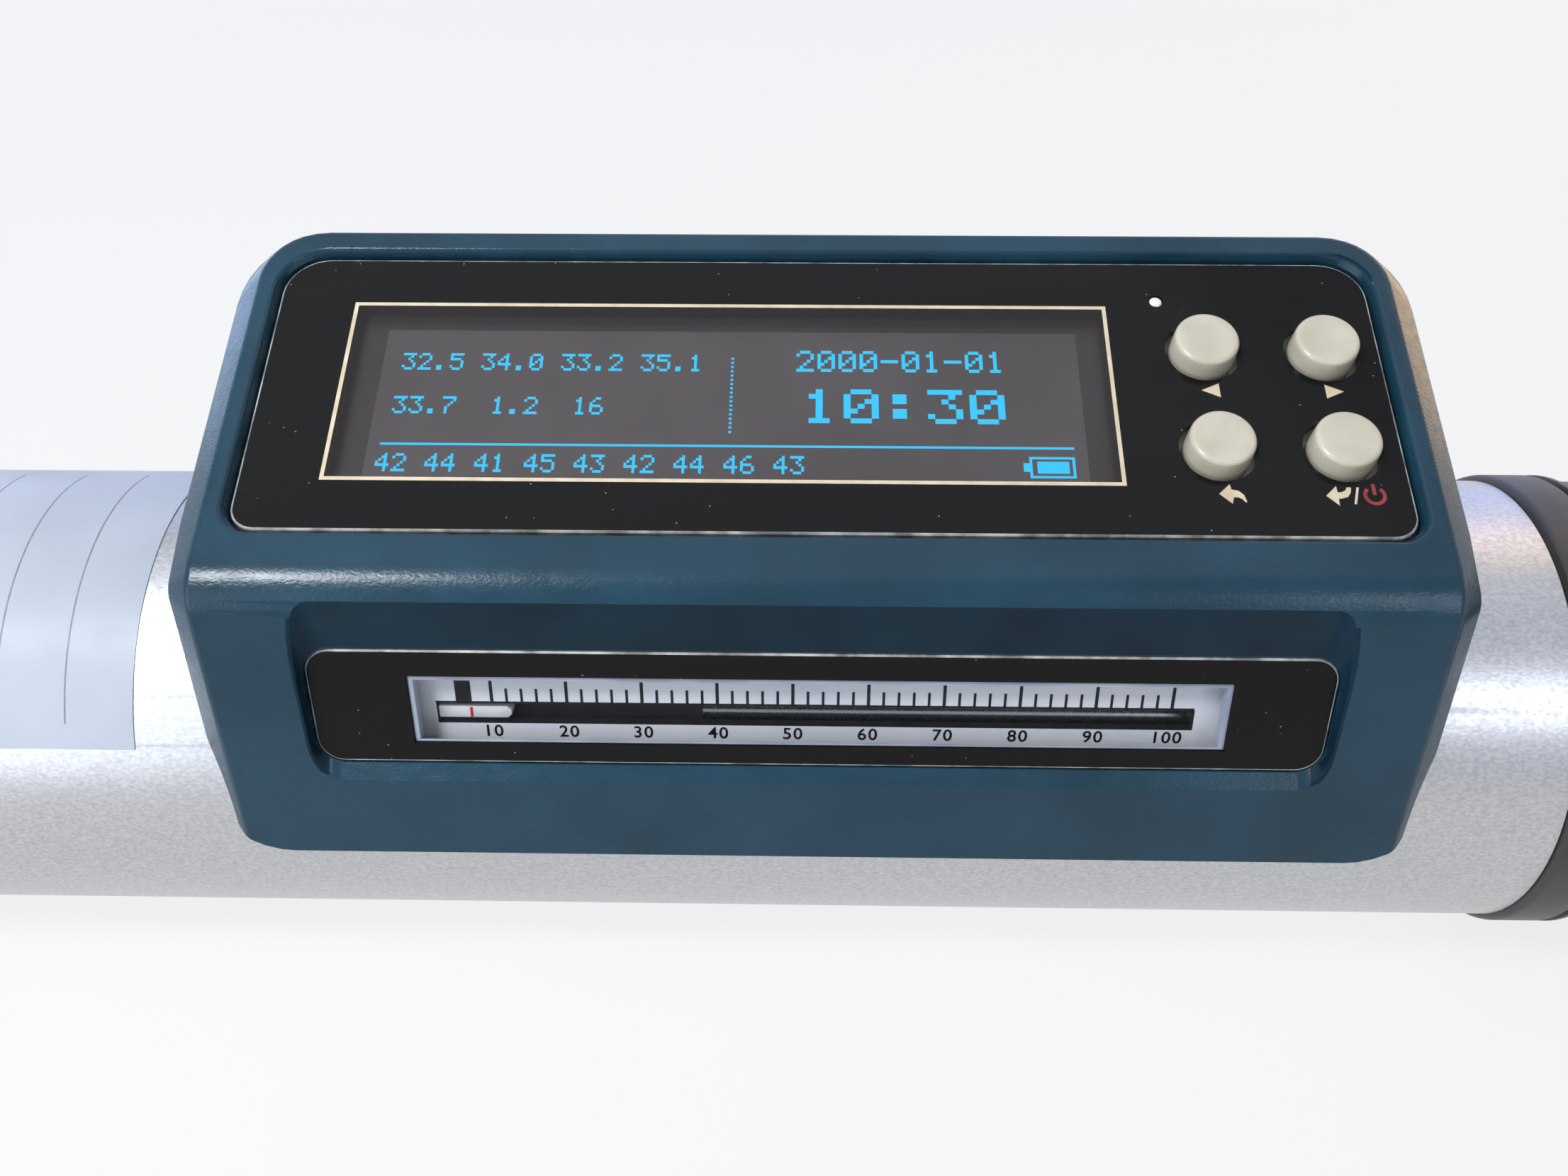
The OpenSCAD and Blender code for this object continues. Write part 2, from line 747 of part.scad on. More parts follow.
module lock_button() {
    color("#2c2c2e") out_of_barrel(button_x, button_angle) {
        translate([0, 0, button_pin_end_r])
            cylinder(h = button_head_r - button_pin_end_r + over, d = button_pin_d);
        translate([0, 0, button_head_r]) cylinder(h = button_head_t, d = button_d);
    }
}

module lock_spring() {
    low = barrel_r + seat_gap;
    color("#8b8d92") out_of_barrel(button_x, button_angle) rotate([0, -90, 0])
        coil(low, button_spring_r, button_spring_wire, button_head_r - low - seat_gap, button_spring_turns);
}

module rider() {
    low = scale_slot_y - pointer_w / 2;
    high = scale_slot_y + pointer_w / 2;
    pointer_end = pointer_x + pointer_len;
    color("#e8e8ea") union() {
        difference() {
            out_of_barrel(0, rider_angle) {
                slab([pointer_x, -rider_w / 2, rider_low_r], [rider_end_x, rider_w / 2, rider_high_r]);
                slab([pointer_x, -rider_neck_w / 2, rider_high_r - over],
                     [pointer_end, rider_neck_w / 2, scale_off + over]);
            }
            out_of_barrel(pointer_x - over, rider_angle) translate([0, 0, rider_rod_r]) rotate([0, 90, 0])
                cylinder(h = rider_end_x - pointer_x + 2 * over, r = rider_rod_d / 2 + run_gap);
            on_scale() slab([pointer_x - over, -scale_panel_low, -pointer_sink - pointer_t],
                [rider_end_x + over, scale_panel_high, panel_lift]);
        }
        on_scale() translate([0, 0, -pointer_sink - pointer_t - seat_gap])
            linear_extrude(pointer_t + seat_gap) polygon([
                [pointer_x, low], [pointer_end - pointer_chamfer, low], [pointer_end, low + pointer_chamfer],
                [pointer_end, high], [pointer_x, high]]);
    }
}

module rider_rod() {
    color("#b4b6ba") out_of_barrel(rod_x0, rider_angle) translate([0, 0, rider_rod_r]) rotate([0, 90, 0])
        cylinder(h = rod_x1 - rod_x0, d = rider_rod_d);
}

module rider_rod_clips() {
    color("#8c8c8e") for (place = [rod_x0, rod_x1 - clip_t]) difference() {
        intersection() {
            out_of_barrel(place, rider_angle)
                slab([0, -clip_w / 2, rider_low_r], [clip_t, clip_w / 2, barrel_r]);
            rod_x(place, clip_t, bore_r);
        }
        out_of_barrel(place - over, rider_angle) translate([0, 0, rider_rod_r]) rotate([0, 90, 0])
            cylinder(h = clip_t + 2 * over, d = rider_rod_d);
    }
}

// Body of the scale plate in the scale's frame, grown by a gap and extended outwards
module plate_body(gap, out) {
    slab([window_x0 - scale_plate_margin - gap, -scale_panel_low - gap, -scale_t - gap],
         [window_x1 + scale_plate_margin + gap, scale_panel_high + gap, out]);
}

module scale_plate() {
    color("#eef2fb") on_scale() difference() {
        plate_body(0, 0);
        slab([slot_x, scale_slot_y - scale_slot_w / 2, -scale_t - over],
             [slot_x + scale_slot_len, scale_slot_y + scale_slot_w / 2, over]);
    }
}

module scale_pane() {
    top = panel_lift - panel_t;
    color("#cfdde6") on_scale()
        slab([window_x0 - over, -window_low - over, top - pane_t],
             [window_x1 + over, window_high + over, top]);
}

module window_outline(grow, z0, z1) {
    slab([window_x0 - grow, -window_low - grow, z0], [window_x1 + grow, window_high + grow, z1]);
}

module scale_bezel() {
    color("#8d97a8") on_scale() difference() {
        window_outline(0, panel_lift - panel_t, panel_lift - bezel_sink);
        window_outline(-bezel_w, 0, panel_lift + over);
    }
}

module scale_panel_body(gap, top) {
    x0 = face_mid_x - scale_panel_len / 2;
    round_plate(x0 - gap, x0 + scale_panel_len + gap, -scale_panel_low - gap, scale_panel_high + gap,
        panel_lift - panel_t, top - panel_lift + panel_t, panel_corner, panel_corner);
}

module scale_panel() {
    color("#1d1b1a") on_scale() difference() {
        scale_panel_body(0, panel_lift);
        window_outline(0, 0, panel_lift + over);
    }
}

// Solid that the housing is cut from: one section along X, with its edges chamfered and its corners rounded
module housing_block() {
    chamfered = [
        [housing_x, -outline_reach], [housing_x, -housing_chamfer], [housing_x + housing_chamfer, 0],
        [housing_end_x - housing_chamfer, 0], [housing_end_x, -housing_chamfer],
        [housing_end_x, -outline_reach]];
    rim = display_o + display_n * rim_lift;
    top_y = norm(meet(rim, display_tilt, back_foot, back_tilt) - rim);
    intersection() {
        extrude_x(housing_x, housing_len) polygon(section(0, 0, 0, housing_base_z, ridge_r, top_r));
        on_display() translate([0, outline_reach, rim_lift]) rotate([90, 0, 0])
            linear_extrude(outline_reach * 2) polygon(chamfered);
        on_front() translate([0, outline_reach, 0]) rotate([90, 0, 0])
            linear_extrude(outline_reach * 2) polygon(chamfered);
        on_display() round_plate(housing_x, housing_end_x, -outline_reach, top_y,
            -outline_reach, outline_reach * 2, housing_corner, housing_corner);
        on_front() round_plate(housing_x, housing_end_x, 0, outline_reach,
            -outline_reach, outline_reach * 2, housing_corner, housing_corner);
    }
}

module housing_cavity() {
    extrude_x(housing_x + housing_wall, housing_len - 2 * housing_wall)
        polygon(section(front_wall, display_wall, housing_wall, housing_base_z - over, inner_r, inner_r));
}

// Places of the four posts that the main board is screwed to
function post_places() = [
    for (x = [housing_x + housing_wall + post_inset, housing_end_x - housing_wall - post_inset])
        for (y = [board_low + post_low, board_high - post_low]) [x, y]];

module display_housing() {
    floor_z = display_panel_lift - panel_t;
    color("#24485a") difference() {
        union() {
            difference() {
                housing_block();
                housing_cavity();
            }
            on_display() for (p = post_places())
                translate([p[0], p[1], -board_drop]) cylinder(h = board_drop + floor_z, d = post_d);
        }
        rod_x(housing_x - over, housing_len + 2 * over, barrel_r);
        on_display() {
            round_plate(display_x - panel_gap, display_x + display_len + panel_gap, display_low - panel_gap,
                display_high + panel_gap, floor_z, outline_reach, display_corner_low, display_corner_high);
            slab([display_x + display_ledge, display_low + display_ledge, -board_drop - over],
                 [display_x + display_len - display_ledge, display_high - display_ledge, floor_z + over]);
        }
        on_scale() {
            scale_panel_body(panel_gap, panel_lift + recess_slope);
            recess_cut();
            plate_body(seat_gap, panel_lift - panel_t - pane_t);
            window_outline(over + seat_gap, 0, panel_lift);
            slab([slot_x - over, scale_slot_y - rider_slot_w, -scale_t - barrel_wall],
                 [slot_x + scale_slot_len + over, scale_slot_y + rider_slot_w, 0]);
        }
        usb_hole();
        back_screw_holes();
    }
}

// Recess round the scale panel: it opens upwards from the panel's top edge to the front face
module recess_cut() {
    x0 = face_mid_x - scale_panel_len / 2 - panel_gap;
    low = -scale_panel_low - panel_gap;
    high = scale_panel_high + panel_gap;
    translate([x0, 0, 0]) rotate([90, 0, 90]) linear_extrude(scale_panel_len + 2 * panel_gap)
        polygon([[low, panel_lift], [high, panel_lift], [high + recess_slope, panel_lift + recess_slope],
                 [low, panel_lift + recess_slope]]);
}

module usb_hole() {
    top = -board_drop - board_t + usb_gap;
    half = usb_w / 2 + usb_gap;
    on_display() slab([usb_x - half, board_high - usb_len, top - usb_h - 2 * usb_gap],
                      [usb_x + half, outline_reach, top]);
}

module back_screw_places() {
    for (x = [housing_x + back_screw_inset, housing_end_x - back_screw_inset])
        translate([x, meet(back_foot, back_tilt, [0, back_screw_z], 0)[0], back_screw_z])
            rotate([back_tilt - 180, 0, 0]) children();
}

module back_screw_holes() {
    back_screw_places() translate([0, 0, -barrel_wall * 2]) cylinder(h = barrel_wall * 4, d = back_screw_d);
}

module housing_screws() {
    color("#3c3c3e") back_screw_places() {
        translate([0, 0, -back_screw_len]) cylinder(h = back_screw_len + over, d = back_screw_d);
        cylinder(h = back_screw_head_t, d = back_screw_head_d);
    }
}

module display_panel() {
    color("#1d1b1a") on_display() difference() {
        round_plate(display_x, display_x + display_len, display_low, display_high,
            display_panel_lift - panel_t, panel_t,
            display_corner_low - panel_gap, display_corner_high - panel_gap);
        for (p = key_places())
            translate([p[0], p[1], 0]) cylinder(h = rim_lift, r = key_d / 2 + free_gap);
        translate([light_x, light_y, 0]) cylinder(h = rim_lift, d = light_d);
    }
}

module display_glass() {
    color("#2e2a26") on_display()
        slab([glass_x, glass_low, -glass_t], [glass_x + glass_len, glass_low + glass_h, 0]);
}

module main_board() {
    color("#1f5a36") on_display() difference() {
        slab([housing_x + housing_wall + board_margin, board_low, -board_drop - board_t],
             [housing_end_x - housing_wall - board_margin, board_high, -board_drop]);
        for (p = post_places())
            translate([p[0], p[1], -board_drop - board_t - over])
                cylinder(h = board_t + 2 * over, d = screw_d);
    }
}

module board_screws() {
    under = -board_drop - board_t;
    color("#8b8d92") on_display() for (p = post_places()) translate([p[0], p[1], under]) {
        cylinder(h = board_t, d = screw_d);
        translate([0, 0, -screw_head_t]) cylinder(h = screw_head_t, d = screw_head_d);
    }
}

function key_places() = [
    for (y = [key_mid_y + key_pitch / 2, key_mid_y - key_pitch / 2])
        for (x = [key_col_x - key_pitch / 2, key_col_x + key_pitch / 2]) [x, y]];

module key_switches() {
    color("#2b2b2d") on_display() for (p = key_places())
        translate([p[0] - switch_w / 2, p[1] - switch_w / 2, -board_drop])
            cube([switch_w, switch_w, switch_t]);
}

module status_light() {
    color("#f4f4ee") on_display() translate([light_x, light_y, -board_drop])
        cylinder(h = board_drop + display_panel_lift, d = light_d);
}

// Key: round cap through the panel, with a flange under it and a stem over the switch
module key(i) {
    p = key_places()[i];
    under = display_panel_lift - panel_t - free_gap;
    stem_z = -board_drop + switch_t + key_travel + seat_gap;
    color("#dcdcd2") on_display() translate([p[0], p[1], 0]) {
        translate([0, 0, under - key_flange_t]) cylinder(h = key_flange_t, r = key_d / 2 + key_flange);
        translate([0, 0, under]) cylinder(h = display_panel_lift + key_proud - under, d = key_d);
        translate([0, 0, stem_z]) cylinder(h = under - stem_z, d = key_d * key_stem_share);
    }
}

module key_left() {
    key(0);
}

module key_right() {
    key(1);
}

module key_back() {
    key(2);
}

module key_enter() {
    key(3);
}

module sensor_board() {
    color("#1f5a36") on_scale()
        slab([zero_x, sensor_low, -scale_t - sensor_t], [full_x, sensor_high, -scale_t]);
}

module battery_cells() {
    color("#3f6fae") for (i = [0, 1])
        translate([cell_x + i * (cell_len + cell_gap), cell_y, cell_z]) rotate([0, 90, 0])
            cylinder(h = cell_len, d = cell_d);
}

module battery_cradle() {
    len = 2 * cell_len + cell_gap;
    color("#2b2b2d") difference() {
        translate([cell_x, cell_y - cradle_w / 2, barrel_r - cradle_side])
            cube([len, cradle_w, cell_z - barrel_r + cradle_side]);
        rod_x(cell_x - over, len + 2 * over, barrel_r);
        translate([cell_x - over, cell_y, cell_z]) rotate([0, 90, 0])
            cylinder(h = len + 2 * over, d = cell_d);
    }
}

module usb_socket() {
    top = -board_drop - board_t;
    color("#9fa3a8") on_display() difference() {
        slab([usb_x - usb_w / 2, board_high - usb_len + over, top - usb_h],
             [usb_x + usb_w / 2, board_high + usb_out, top]);
        slab([usb_x - usb_w / 2 + usb_wall, board_high - usb_len / 2, top - usb_h + usb_wall],
             [usb_x + usb_w / 2 - usb_wall, board_high + usb_len, top - usb_wall]);
    }
}

barrel_tube();
barrel_film();
front_cap();
felt_wiper();
spring_seat();
rear_cover();
trip_screw();
trip_lock_nut();
impact_plunger();
split_ring();
cushion_spring();
guide_bar();
guide_disc();
hammer_mass();
impact_spring();
return_spring();
pawl();
pawl_pin();
pawl_spring();
lock_bush();
lock_button();
lock_spring();
rider();
rider_rod();
rider_rod_clips();
scale_plate();
scale_pane();
scale_bezel();
scale_panel();
display_housing();
housing_screws();
display_panel();
display_glass();
main_board();
board_screws();
key_switches();
status_light();
sensor_board();
battery_cells();
battery_cradle();
usb_socket();
key_left();
key_right();
key_back();
key_enter();
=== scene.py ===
# %% [markdown]
# # A concrete test hammer with a display
# The tool is a round metal barrel with a sprung plunger, and a moulded housing on top that carries
# a rebound scale and a small screen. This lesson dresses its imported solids: each visible piece is
# modelled again with rounded edges and printed marks, and every surface gets a finish of its own.
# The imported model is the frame: it says where each piece lies and which body it moves with.

# %% Load the frame
import json
import math

import bmesh
import bpy
from mathutils import Matrix, Vector


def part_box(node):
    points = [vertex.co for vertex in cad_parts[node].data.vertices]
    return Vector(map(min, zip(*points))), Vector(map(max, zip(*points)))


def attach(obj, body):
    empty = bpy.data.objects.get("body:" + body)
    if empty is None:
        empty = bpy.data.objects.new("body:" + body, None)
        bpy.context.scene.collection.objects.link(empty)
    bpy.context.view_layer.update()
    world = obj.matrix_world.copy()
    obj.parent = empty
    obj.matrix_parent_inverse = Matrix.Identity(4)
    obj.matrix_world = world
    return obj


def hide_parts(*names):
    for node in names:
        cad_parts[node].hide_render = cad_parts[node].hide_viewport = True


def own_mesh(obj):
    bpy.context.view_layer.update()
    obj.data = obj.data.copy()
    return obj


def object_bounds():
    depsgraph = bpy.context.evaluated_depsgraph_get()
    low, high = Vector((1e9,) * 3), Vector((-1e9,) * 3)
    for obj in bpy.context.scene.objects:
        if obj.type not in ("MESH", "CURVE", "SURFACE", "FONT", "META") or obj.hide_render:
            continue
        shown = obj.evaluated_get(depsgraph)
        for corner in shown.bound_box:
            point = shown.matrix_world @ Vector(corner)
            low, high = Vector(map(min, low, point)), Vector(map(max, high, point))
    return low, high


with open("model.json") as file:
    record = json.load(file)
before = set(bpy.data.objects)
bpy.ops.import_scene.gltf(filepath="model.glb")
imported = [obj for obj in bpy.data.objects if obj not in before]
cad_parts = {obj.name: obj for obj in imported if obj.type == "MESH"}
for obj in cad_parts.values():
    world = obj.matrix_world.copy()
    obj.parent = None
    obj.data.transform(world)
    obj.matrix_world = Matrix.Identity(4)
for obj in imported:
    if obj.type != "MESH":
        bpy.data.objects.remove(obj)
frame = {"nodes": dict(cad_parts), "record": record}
cad_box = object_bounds()
MM = 0.001
print("nodes:", len(frame["nodes"]), "box:", cad_box)

# %% [markdown]
# ## Working on the bench
# Blender's tools hold small built-in distances that suit things of metre size. A hammer with edges
# of half a millimetre would suffer from them, so every piece is drawn at one unit to the millimetre
# and brought down to metres when it is put in its place. These few helpers select, bevel and apply
# modifiers.

# %% Bench helpers
SELECT_MODES = {"verts": "VERT", "edges": "EDGE", "faces": "FACE"}


def shut():
    """Leave edit mode."""
    if bpy.context.mode != "OBJECT":
        bpy.ops.object.mode_set(mode="OBJECT")


def deselect():
    """Leave edit mode and drop the whole selection."""
    shut()
    bpy.ops.object.select_all(action="DESELECT")


def take(piece):
    """Make one piece the only selected one."""
    deselect()
    piece.select_set(True)
    bpy.context.view_layer.objects.active = piece


def edit(piece):
    """Open one piece in edit mode."""
    take(piece)
    bpy.ops.object.mode_set(mode="EDIT")


def select_all():
    """Select the whole piece that is open in edit mode."""
    bpy.ops.mesh.select_all(action="SELECT")


def pick(kind, test):
    """Select the vertices, edges or faces that pass a test, in edit mode."""
    bpy.ops.mesh.select_mode(type=SELECT_MODES[kind])
    bpy.ops.mesh.select_all(action="DESELECT")
    shape = bmesh.from_edit_mesh(bpy.context.object.data)
    found = [item for item in getattr(shape, kind) if test(item)]
    for item in found:
        item.select_set(True)
    bmesh.update_edit_mesh(bpy.context.object.data)
    return len(found)


def ends(edge):
    """Both end points of an edge."""
    return [vert.co for vert in edge.verts]


def round_edges(offset, segments):
    """Bevel the selected edges."""
    bpy.ops.mesh.bevel(offset=offset, segments=segments, affect="EDGES", clamp_overlap=False)


def bevel(piece, test, offset, segments=1):
    """Open a piece and bevel the edges that pass a test."""
    edit(piece)
    pick("edges", test)
    round_edges(offset, segments)
    shut()


def use(piece, kind, **settings):
    """Add a modifier with its settings and apply it at once."""
    take(piece)
    tool = piece.modifiers.new(kind.lower(), kind)
    for name, value in settings.items():
        setattr(tool, name, value)
    bpy.ops.object.modifier_apply(modifier=tool.name)


# %% [markdown]
# ## Shapes to start from
# A box becomes a casing or a cutter, a plate with rounded corners becomes a panel, and an outline
# spun round the barrel's axis becomes anything turned on a lathe. A cut is a Boolean modifier that is
# applied at once, so the piece stays a plain mesh.

# %% Box, plate, lathe and cut
X_AXIS = Vector((1, 0, 0))
Y_AXIS = Vector((0, 1, 0))
Z_AXIS = Vector((0, 0, 1))


def box(name, low, high):
    """Box between two corners."""
    deselect()
    low, high = Vector(low), Vector(high)
    bpy.ops.mesh.primitive_cube_add(size=1, location=(low + high) / 2, scale=high - low)
    bpy.ops.object.transform_apply()
    bpy.context.object.name = name
    return bpy.context.object


def plate(name, low, high, low_r, high_r, segments=8):
    """Flat box whose upright edges are rounded, with one radius below and one above."""
    piece = box(name, low, high)
    edit(piece)
    for radius, side in ((low_r, low[1]), (high_r, high[1])):
        pick("edges", lambda e: (e.verts[0].co - e.verts[1].co).xy.length < 0.01
             and abs(e.verts[0].co.y - side) < 0.01)
        round_edges(radius, segments)
    shut()
    return piece


def draw_line(name, points):
    """Draw a line of joined points and stay in edit mode with all of it selected."""
    deselect()
    bpy.ops.mesh.primitive_plane_add(size=1)
    piece = bpy.context.object
    piece.name = name
    bpy.ops.object.mode_set(mode="EDIT")
    bpy.ops.mesh.select_mode(type="VERT")
    select_all()
    bpy.ops.mesh.merge(type="CENTER")
    bpy.ops.transform.translate(value=points[0])
    for before, after in zip(points, points[1:]):
        bpy.ops.mesh.extrude_vertices_move(TRANSFORM_OT_translate={"value": after - before})
    select_all()
    return piece


def flat_shape(name, corners):
    """Flat face inside an outline of (x, y) corners."""
    piece = draw_line(name, [Vector((x, y, 0)) for x, y in corners])
    bpy.ops.mesh.edge_face_add()
    shut()
    return piece


def arc(place, radius, size, start, stop, steps=6):
    """Points of a rounding in a lathe outline, by angles in degrees from the radius to the axis."""
    turns = [math.radians(start + (stop - start) * i / steps) for i in range(steps + 1)]
    return [(place + size * math.sin(turn), radius + size * math.cos(turn)) for turn in turns]


def turned(name, outline, steps=96, along=X_AXIS):
    """Spin an outline of (place along the axis, radius) points into a turned piece."""
    out = Z_AXIS if along.x else X_AXIS
    piece = draw_line(name, [along * place + out * radius for place, radius in outline])
    bpy.ops.mesh.spin(steps=steps, angle=math.tau, center=(0, 0, 0), axis=along)
    select_all()
    bpy.ops.mesh.remove_doubles(threshold=0.001)
    bpy.ops.mesh.normals_make_consistent(inside=False)
    shut()
    return piece


def cut(piece, cutter, place=None, operation="DIFFERENCE"):
    """Cut a piece with another one, which is used up."""
    if place is not None:
        cutter.matrix_world = place @ cutter.matrix_world
    use(piece, "BOOLEAN", operation=operation, solver="EXACT", object=cutter)
    bpy.data.objects.remove(cutter)


def join(name, pieces):
    """Join loose pieces into one."""
    deselect()
    for piece in pieces:
        piece.select_set(True)
    bpy.context.view_layer.objects.active = pieces[0]
    bpy.ops.object.join()
    pieces[0].name = name
    return pieces[0]


def thicken(piece, depth):
    """Give a sheet of faces a little depth, half to each side."""
    use(piece, "SOLIDIFY", thickness=depth, offset=0)
    return piece


# %% [markdown]
# ## Places read from the frame
# Two faces of the housing are tilted: the display and the scale. Each gets a frame of its own, taken
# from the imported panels: X along the barrel, Y up the face and Z out of it, with zero at the middle of
# the panel's surface. A piece is drawn flat on the bench and then put into that frame.

# %% Frames of the faces
TOWARDS_VIEWER = Vector((0, -1, 1))


def mm_box(node):
    """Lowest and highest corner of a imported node, in millimetres."""
    low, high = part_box(node)
    return Vector(low) / MM, Vector(high) / MM


def facing(node):
    """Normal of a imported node's largest face that looks at the viewer."""
    faces = [f for f in frame["nodes"][node].data.polygons if f.normal.dot(TOWARDS_VIEWER) > 0]
    return max(faces, key=lambda f: f.area).normal.copy()


def face_frame(node, normal):
    """Frame at the middle of a node's outermost surface, looked at along a normal."""
    up = normal.cross(X_AXIS)
    points = [vert.co / MM for vert in frame["nodes"][node].data.vertices]
    middle = []
    for way in (X_AXIS, up):
        spread = [point.dot(way) for point in points]
        middle.append((min(spread) + max(spread)) / 2)
    top = max(point.dot(normal) for point in points)
    origin = X_AXIS * middle[0] + up * middle[1] + normal * top
    place = Matrix((X_AXIS, up, normal)).transposed().to_4x4()
    place.translation = origin
    return place


display_out = facing("display_panel")
scale_out = facing("scale_panel")
on_display = face_frame("display_panel", display_out)
on_scale = face_frame("scale_panel", scale_out)
print("display tilt:", round(math.degrees(math.acos(display_out.z)), 1))
print("scale tilt:", round(math.degrees(math.acos(scale_out.z)), 1))


# %% Put a finished piece in its place
def lift(height):
    """Shift along a face's own Z."""
    return Matrix.Translation((0, 0, height))


def assign(piece, look, test):
    """Give the faces that pass a test a finish of their own."""
    piece.data.materials.append(look)
    edit(piece)
    pick("faces", test)
    piece.active_material_index = len(piece.data.materials) - 1
    bpy.ops.object.material_slot_assign()
    shut()


def settle(piece, look, body, nodes=(), place=None, smooth=32):
    """Bring a piece to metres in its frame, give it a look and tie it to its body."""
    take(piece)
    piece.matrix_world = Matrix.Scale(MM, 4) @ (place or Matrix()) @ piece.matrix_world
    bpy.ops.object.transform_apply()
    bpy.ops.object.shade_smooth_by_angle(angle=math.radians(smooth))
    if not piece.data.materials:
        piece.data.materials.append(look)
    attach(piece, body)
    if nodes:
        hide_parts(*nodes)
    deselect()
    print(piece.name, "faces:", len(piece.data.polygons))
    return piece


# %% [markdown]
# ## Camera
# The photographer stood close, a hand above the tool, and looked down at the display. The camera is
# given by where it stands and two directions: where it looks and which way its right side points.

# %% Camera
EYE = Vector((170.8, -121.6, 109.96)) * MM
LOOK = Vector((-0.0166, 0.7879, -0.6156)).normalized()
SIDE = Vector((0.9998, 0.0186, -0.0031)).normalized()
SENSOR = 36
LENS = 31.76
deselect()
bpy.ops.object.camera_add(location=EYE)
camera = bpy.context.object
camera.matrix_world = Matrix((SIDE, SIDE.cross(LOOK), -LOOK)).transposed().to_4x4()
camera.location = EYE
camera.data.sensor_width = SENSOR
camera.data.lens = LENS
camera.data.clip_start = 0.005
bpy.context.scene.camera = camera
print("camera at", [round(c, 3) for c in camera.location])

# %% [markdown]
# ## Finishes
# A finish is a Principled shader with patterns that vary its colour, gloss and relief. The patterns
# read Object coordinates, which are metres here, so a pattern of a given size in millimetres has a
# scale of one over that size.

# %% Finish helpers
def linear(code):
    """Linear colour of an sRGB hex code."""
    parts = [int(code[i:i + 2], 16) / 255 for i in (1, 3, 5)]
    return [c / 12.92 if c <= 0.04045 else ((c + 0.055) / 1.055) ** 2.4 for c in parts] + [1]


def add(tree, kind, links=None, **settings):
    """Add a node, with its settings, and its sockets set to values or linked."""
    node = tree.nodes.new(kind)
    for name, value in settings.items():
        setattr(node, name, value)
    for socket, value in (links or {}).items():
        if isinstance(value, bpy.types.NodeSocket):
            tree.links.new(value, node.inputs[socket])
        else:
            node.inputs[socket].default_value = value
    return node


def finish(name, color, roughness, **sockets):
    """New finish: a Principled shader with constant sockets."""
    look = bpy.data.materials.new(name)
    look.use_nodes = True
    shader = look.node_tree.nodes["Principled BSDF"]
    shader.inputs["Base Color"].default_value = linear(color)
    shader.inputs["Roughness"].default_value = roughness
    for socket, value in sockets.items():
        shader.inputs[socket.replace("_", " ")].default_value = value
    return look


def grain_of(look, size, stretch=(1, 1, 1), detail=3):
    """Noise of a size in millimetres, stretched along the axes."""
    tree = look.node_tree
    spot = add(tree, "ShaderNodeTexCoord").outputs["Object"]
    spot = add(tree, "ShaderNodeMapping", {"Vector": spot, "Scale": stretch}).outputs["Vector"]
    noise = add(tree, "ShaderNodeTexNoise", {"Vector": spot, "Scale": 1 / (size * MM), "Detail": detail})
    return noise.outputs["Fac"]


def shade_by(look, low, high, pattern, span):
    """Let a pattern run the base colour from one shade to another."""
    tree = look.node_tree
    ramp = add(tree, "ShaderNodeValToRGB", {"Fac": pattern})
    for stop, place, shade in zip(ramp.color_ramp.elements, span, (low, high)):
        stop.position = place
        stop.color = linear(shade)
    tree.links.new(ramp.outputs["Color"], tree.nodes["Principled BSDF"].inputs["Base Color"])


def vary_color(look, low, high, *grain, span=(0.35, 0.65)):
    """Let a grain run the base colour from one shade to another."""
    shade_by(look, low, high, grain_of(look, *grain), span)


def vary_gloss(look, low, high, *grain):
    """Let a grain run the roughness between two values."""
    tree = look.node_tree
    span = add(tree, "ShaderNodeMapRange", {"Value": grain_of(look, *grain), "From Min": 0.3, "From Max": 0.7,
                                            "To Min": low, "To Max": high})
    tree.links.new(span.outputs["Result"], tree.nodes["Principled BSDF"].inputs["Roughness"])


def raise_grain(look, depth, strength, *grain):
    """Let a grain stand out as relief, to a depth in millimetres."""
    tree = look.node_tree
    bump = add(tree, "ShaderNodeBump", {"Height": grain_of(look, *grain), "Distance": depth * MM,
                                        "Strength": strength})
    tree.links.new(bump.outputs["Normal"], tree.nodes["Principled BSDF"].inputs["Normal"])


# %% [markdown]
# ### Moulded plastics
# The housing is ABS moulded in a tool with a leather grain: short wrinkles that lie along the barrel.
# The caps and keys come from smoother tools, so they only carry a faint unevenness.

# %% Plastics
teal = finish("moulded_abs_leather_grain", "#163a4b", 0.3, Specular_IOR_Level=0.3)
vary_color(teal, "#133545", "#1a4052", 14)
vary_gloss(teal, 0.2, 0.3, 0.9, (0.4, 1, 1))
raise_grain(teal, 0.05, 0.5, 0.26, (0.6, 1, 1), 2)

# Walls of the scale's recess: smooth, and darker than the housing as painted shade.
teal_recess_shade = finish("moulded_abs_polished", "#0d2836", 0.36, Specular_IOR_Level=0.12)
vary_color(teal_recess_shade, "#0b2431", "#102d3c", 10)
vary_gloss(teal_recess_shade, 0.3, 0.42, 2)

cover_black = finish("moulded_abs_satin_black", "#322d2c", 0.42)
vary_color(cover_black, "#2b2726", "#3a3534", 9)
raise_grain(cover_black, 0.03, 0.4, 0.5)

key_white = finish("moulded_abs_gloss_white", "#cfc7b3", 0.22, Subsurface_Weight=0.06, Subsurface_Scale=0.001)
vary_color(key_white, "#cac2ad", "#d4ccb9", 3)
raise_grain(key_white, 0.02, 0.3, 1.2)

bezel_grey = finish("moulded_abs_grey", "#98a0b0", 0.35)
vary_color(bezel_grey, "#8d95a6", "#a8aebb", 6)

rider_white = finish("moulded_acetal_white", "#ececee", 0.4)
vary_color(rider_white, "#e4e4e6", "#f2f2f2", 1.5)

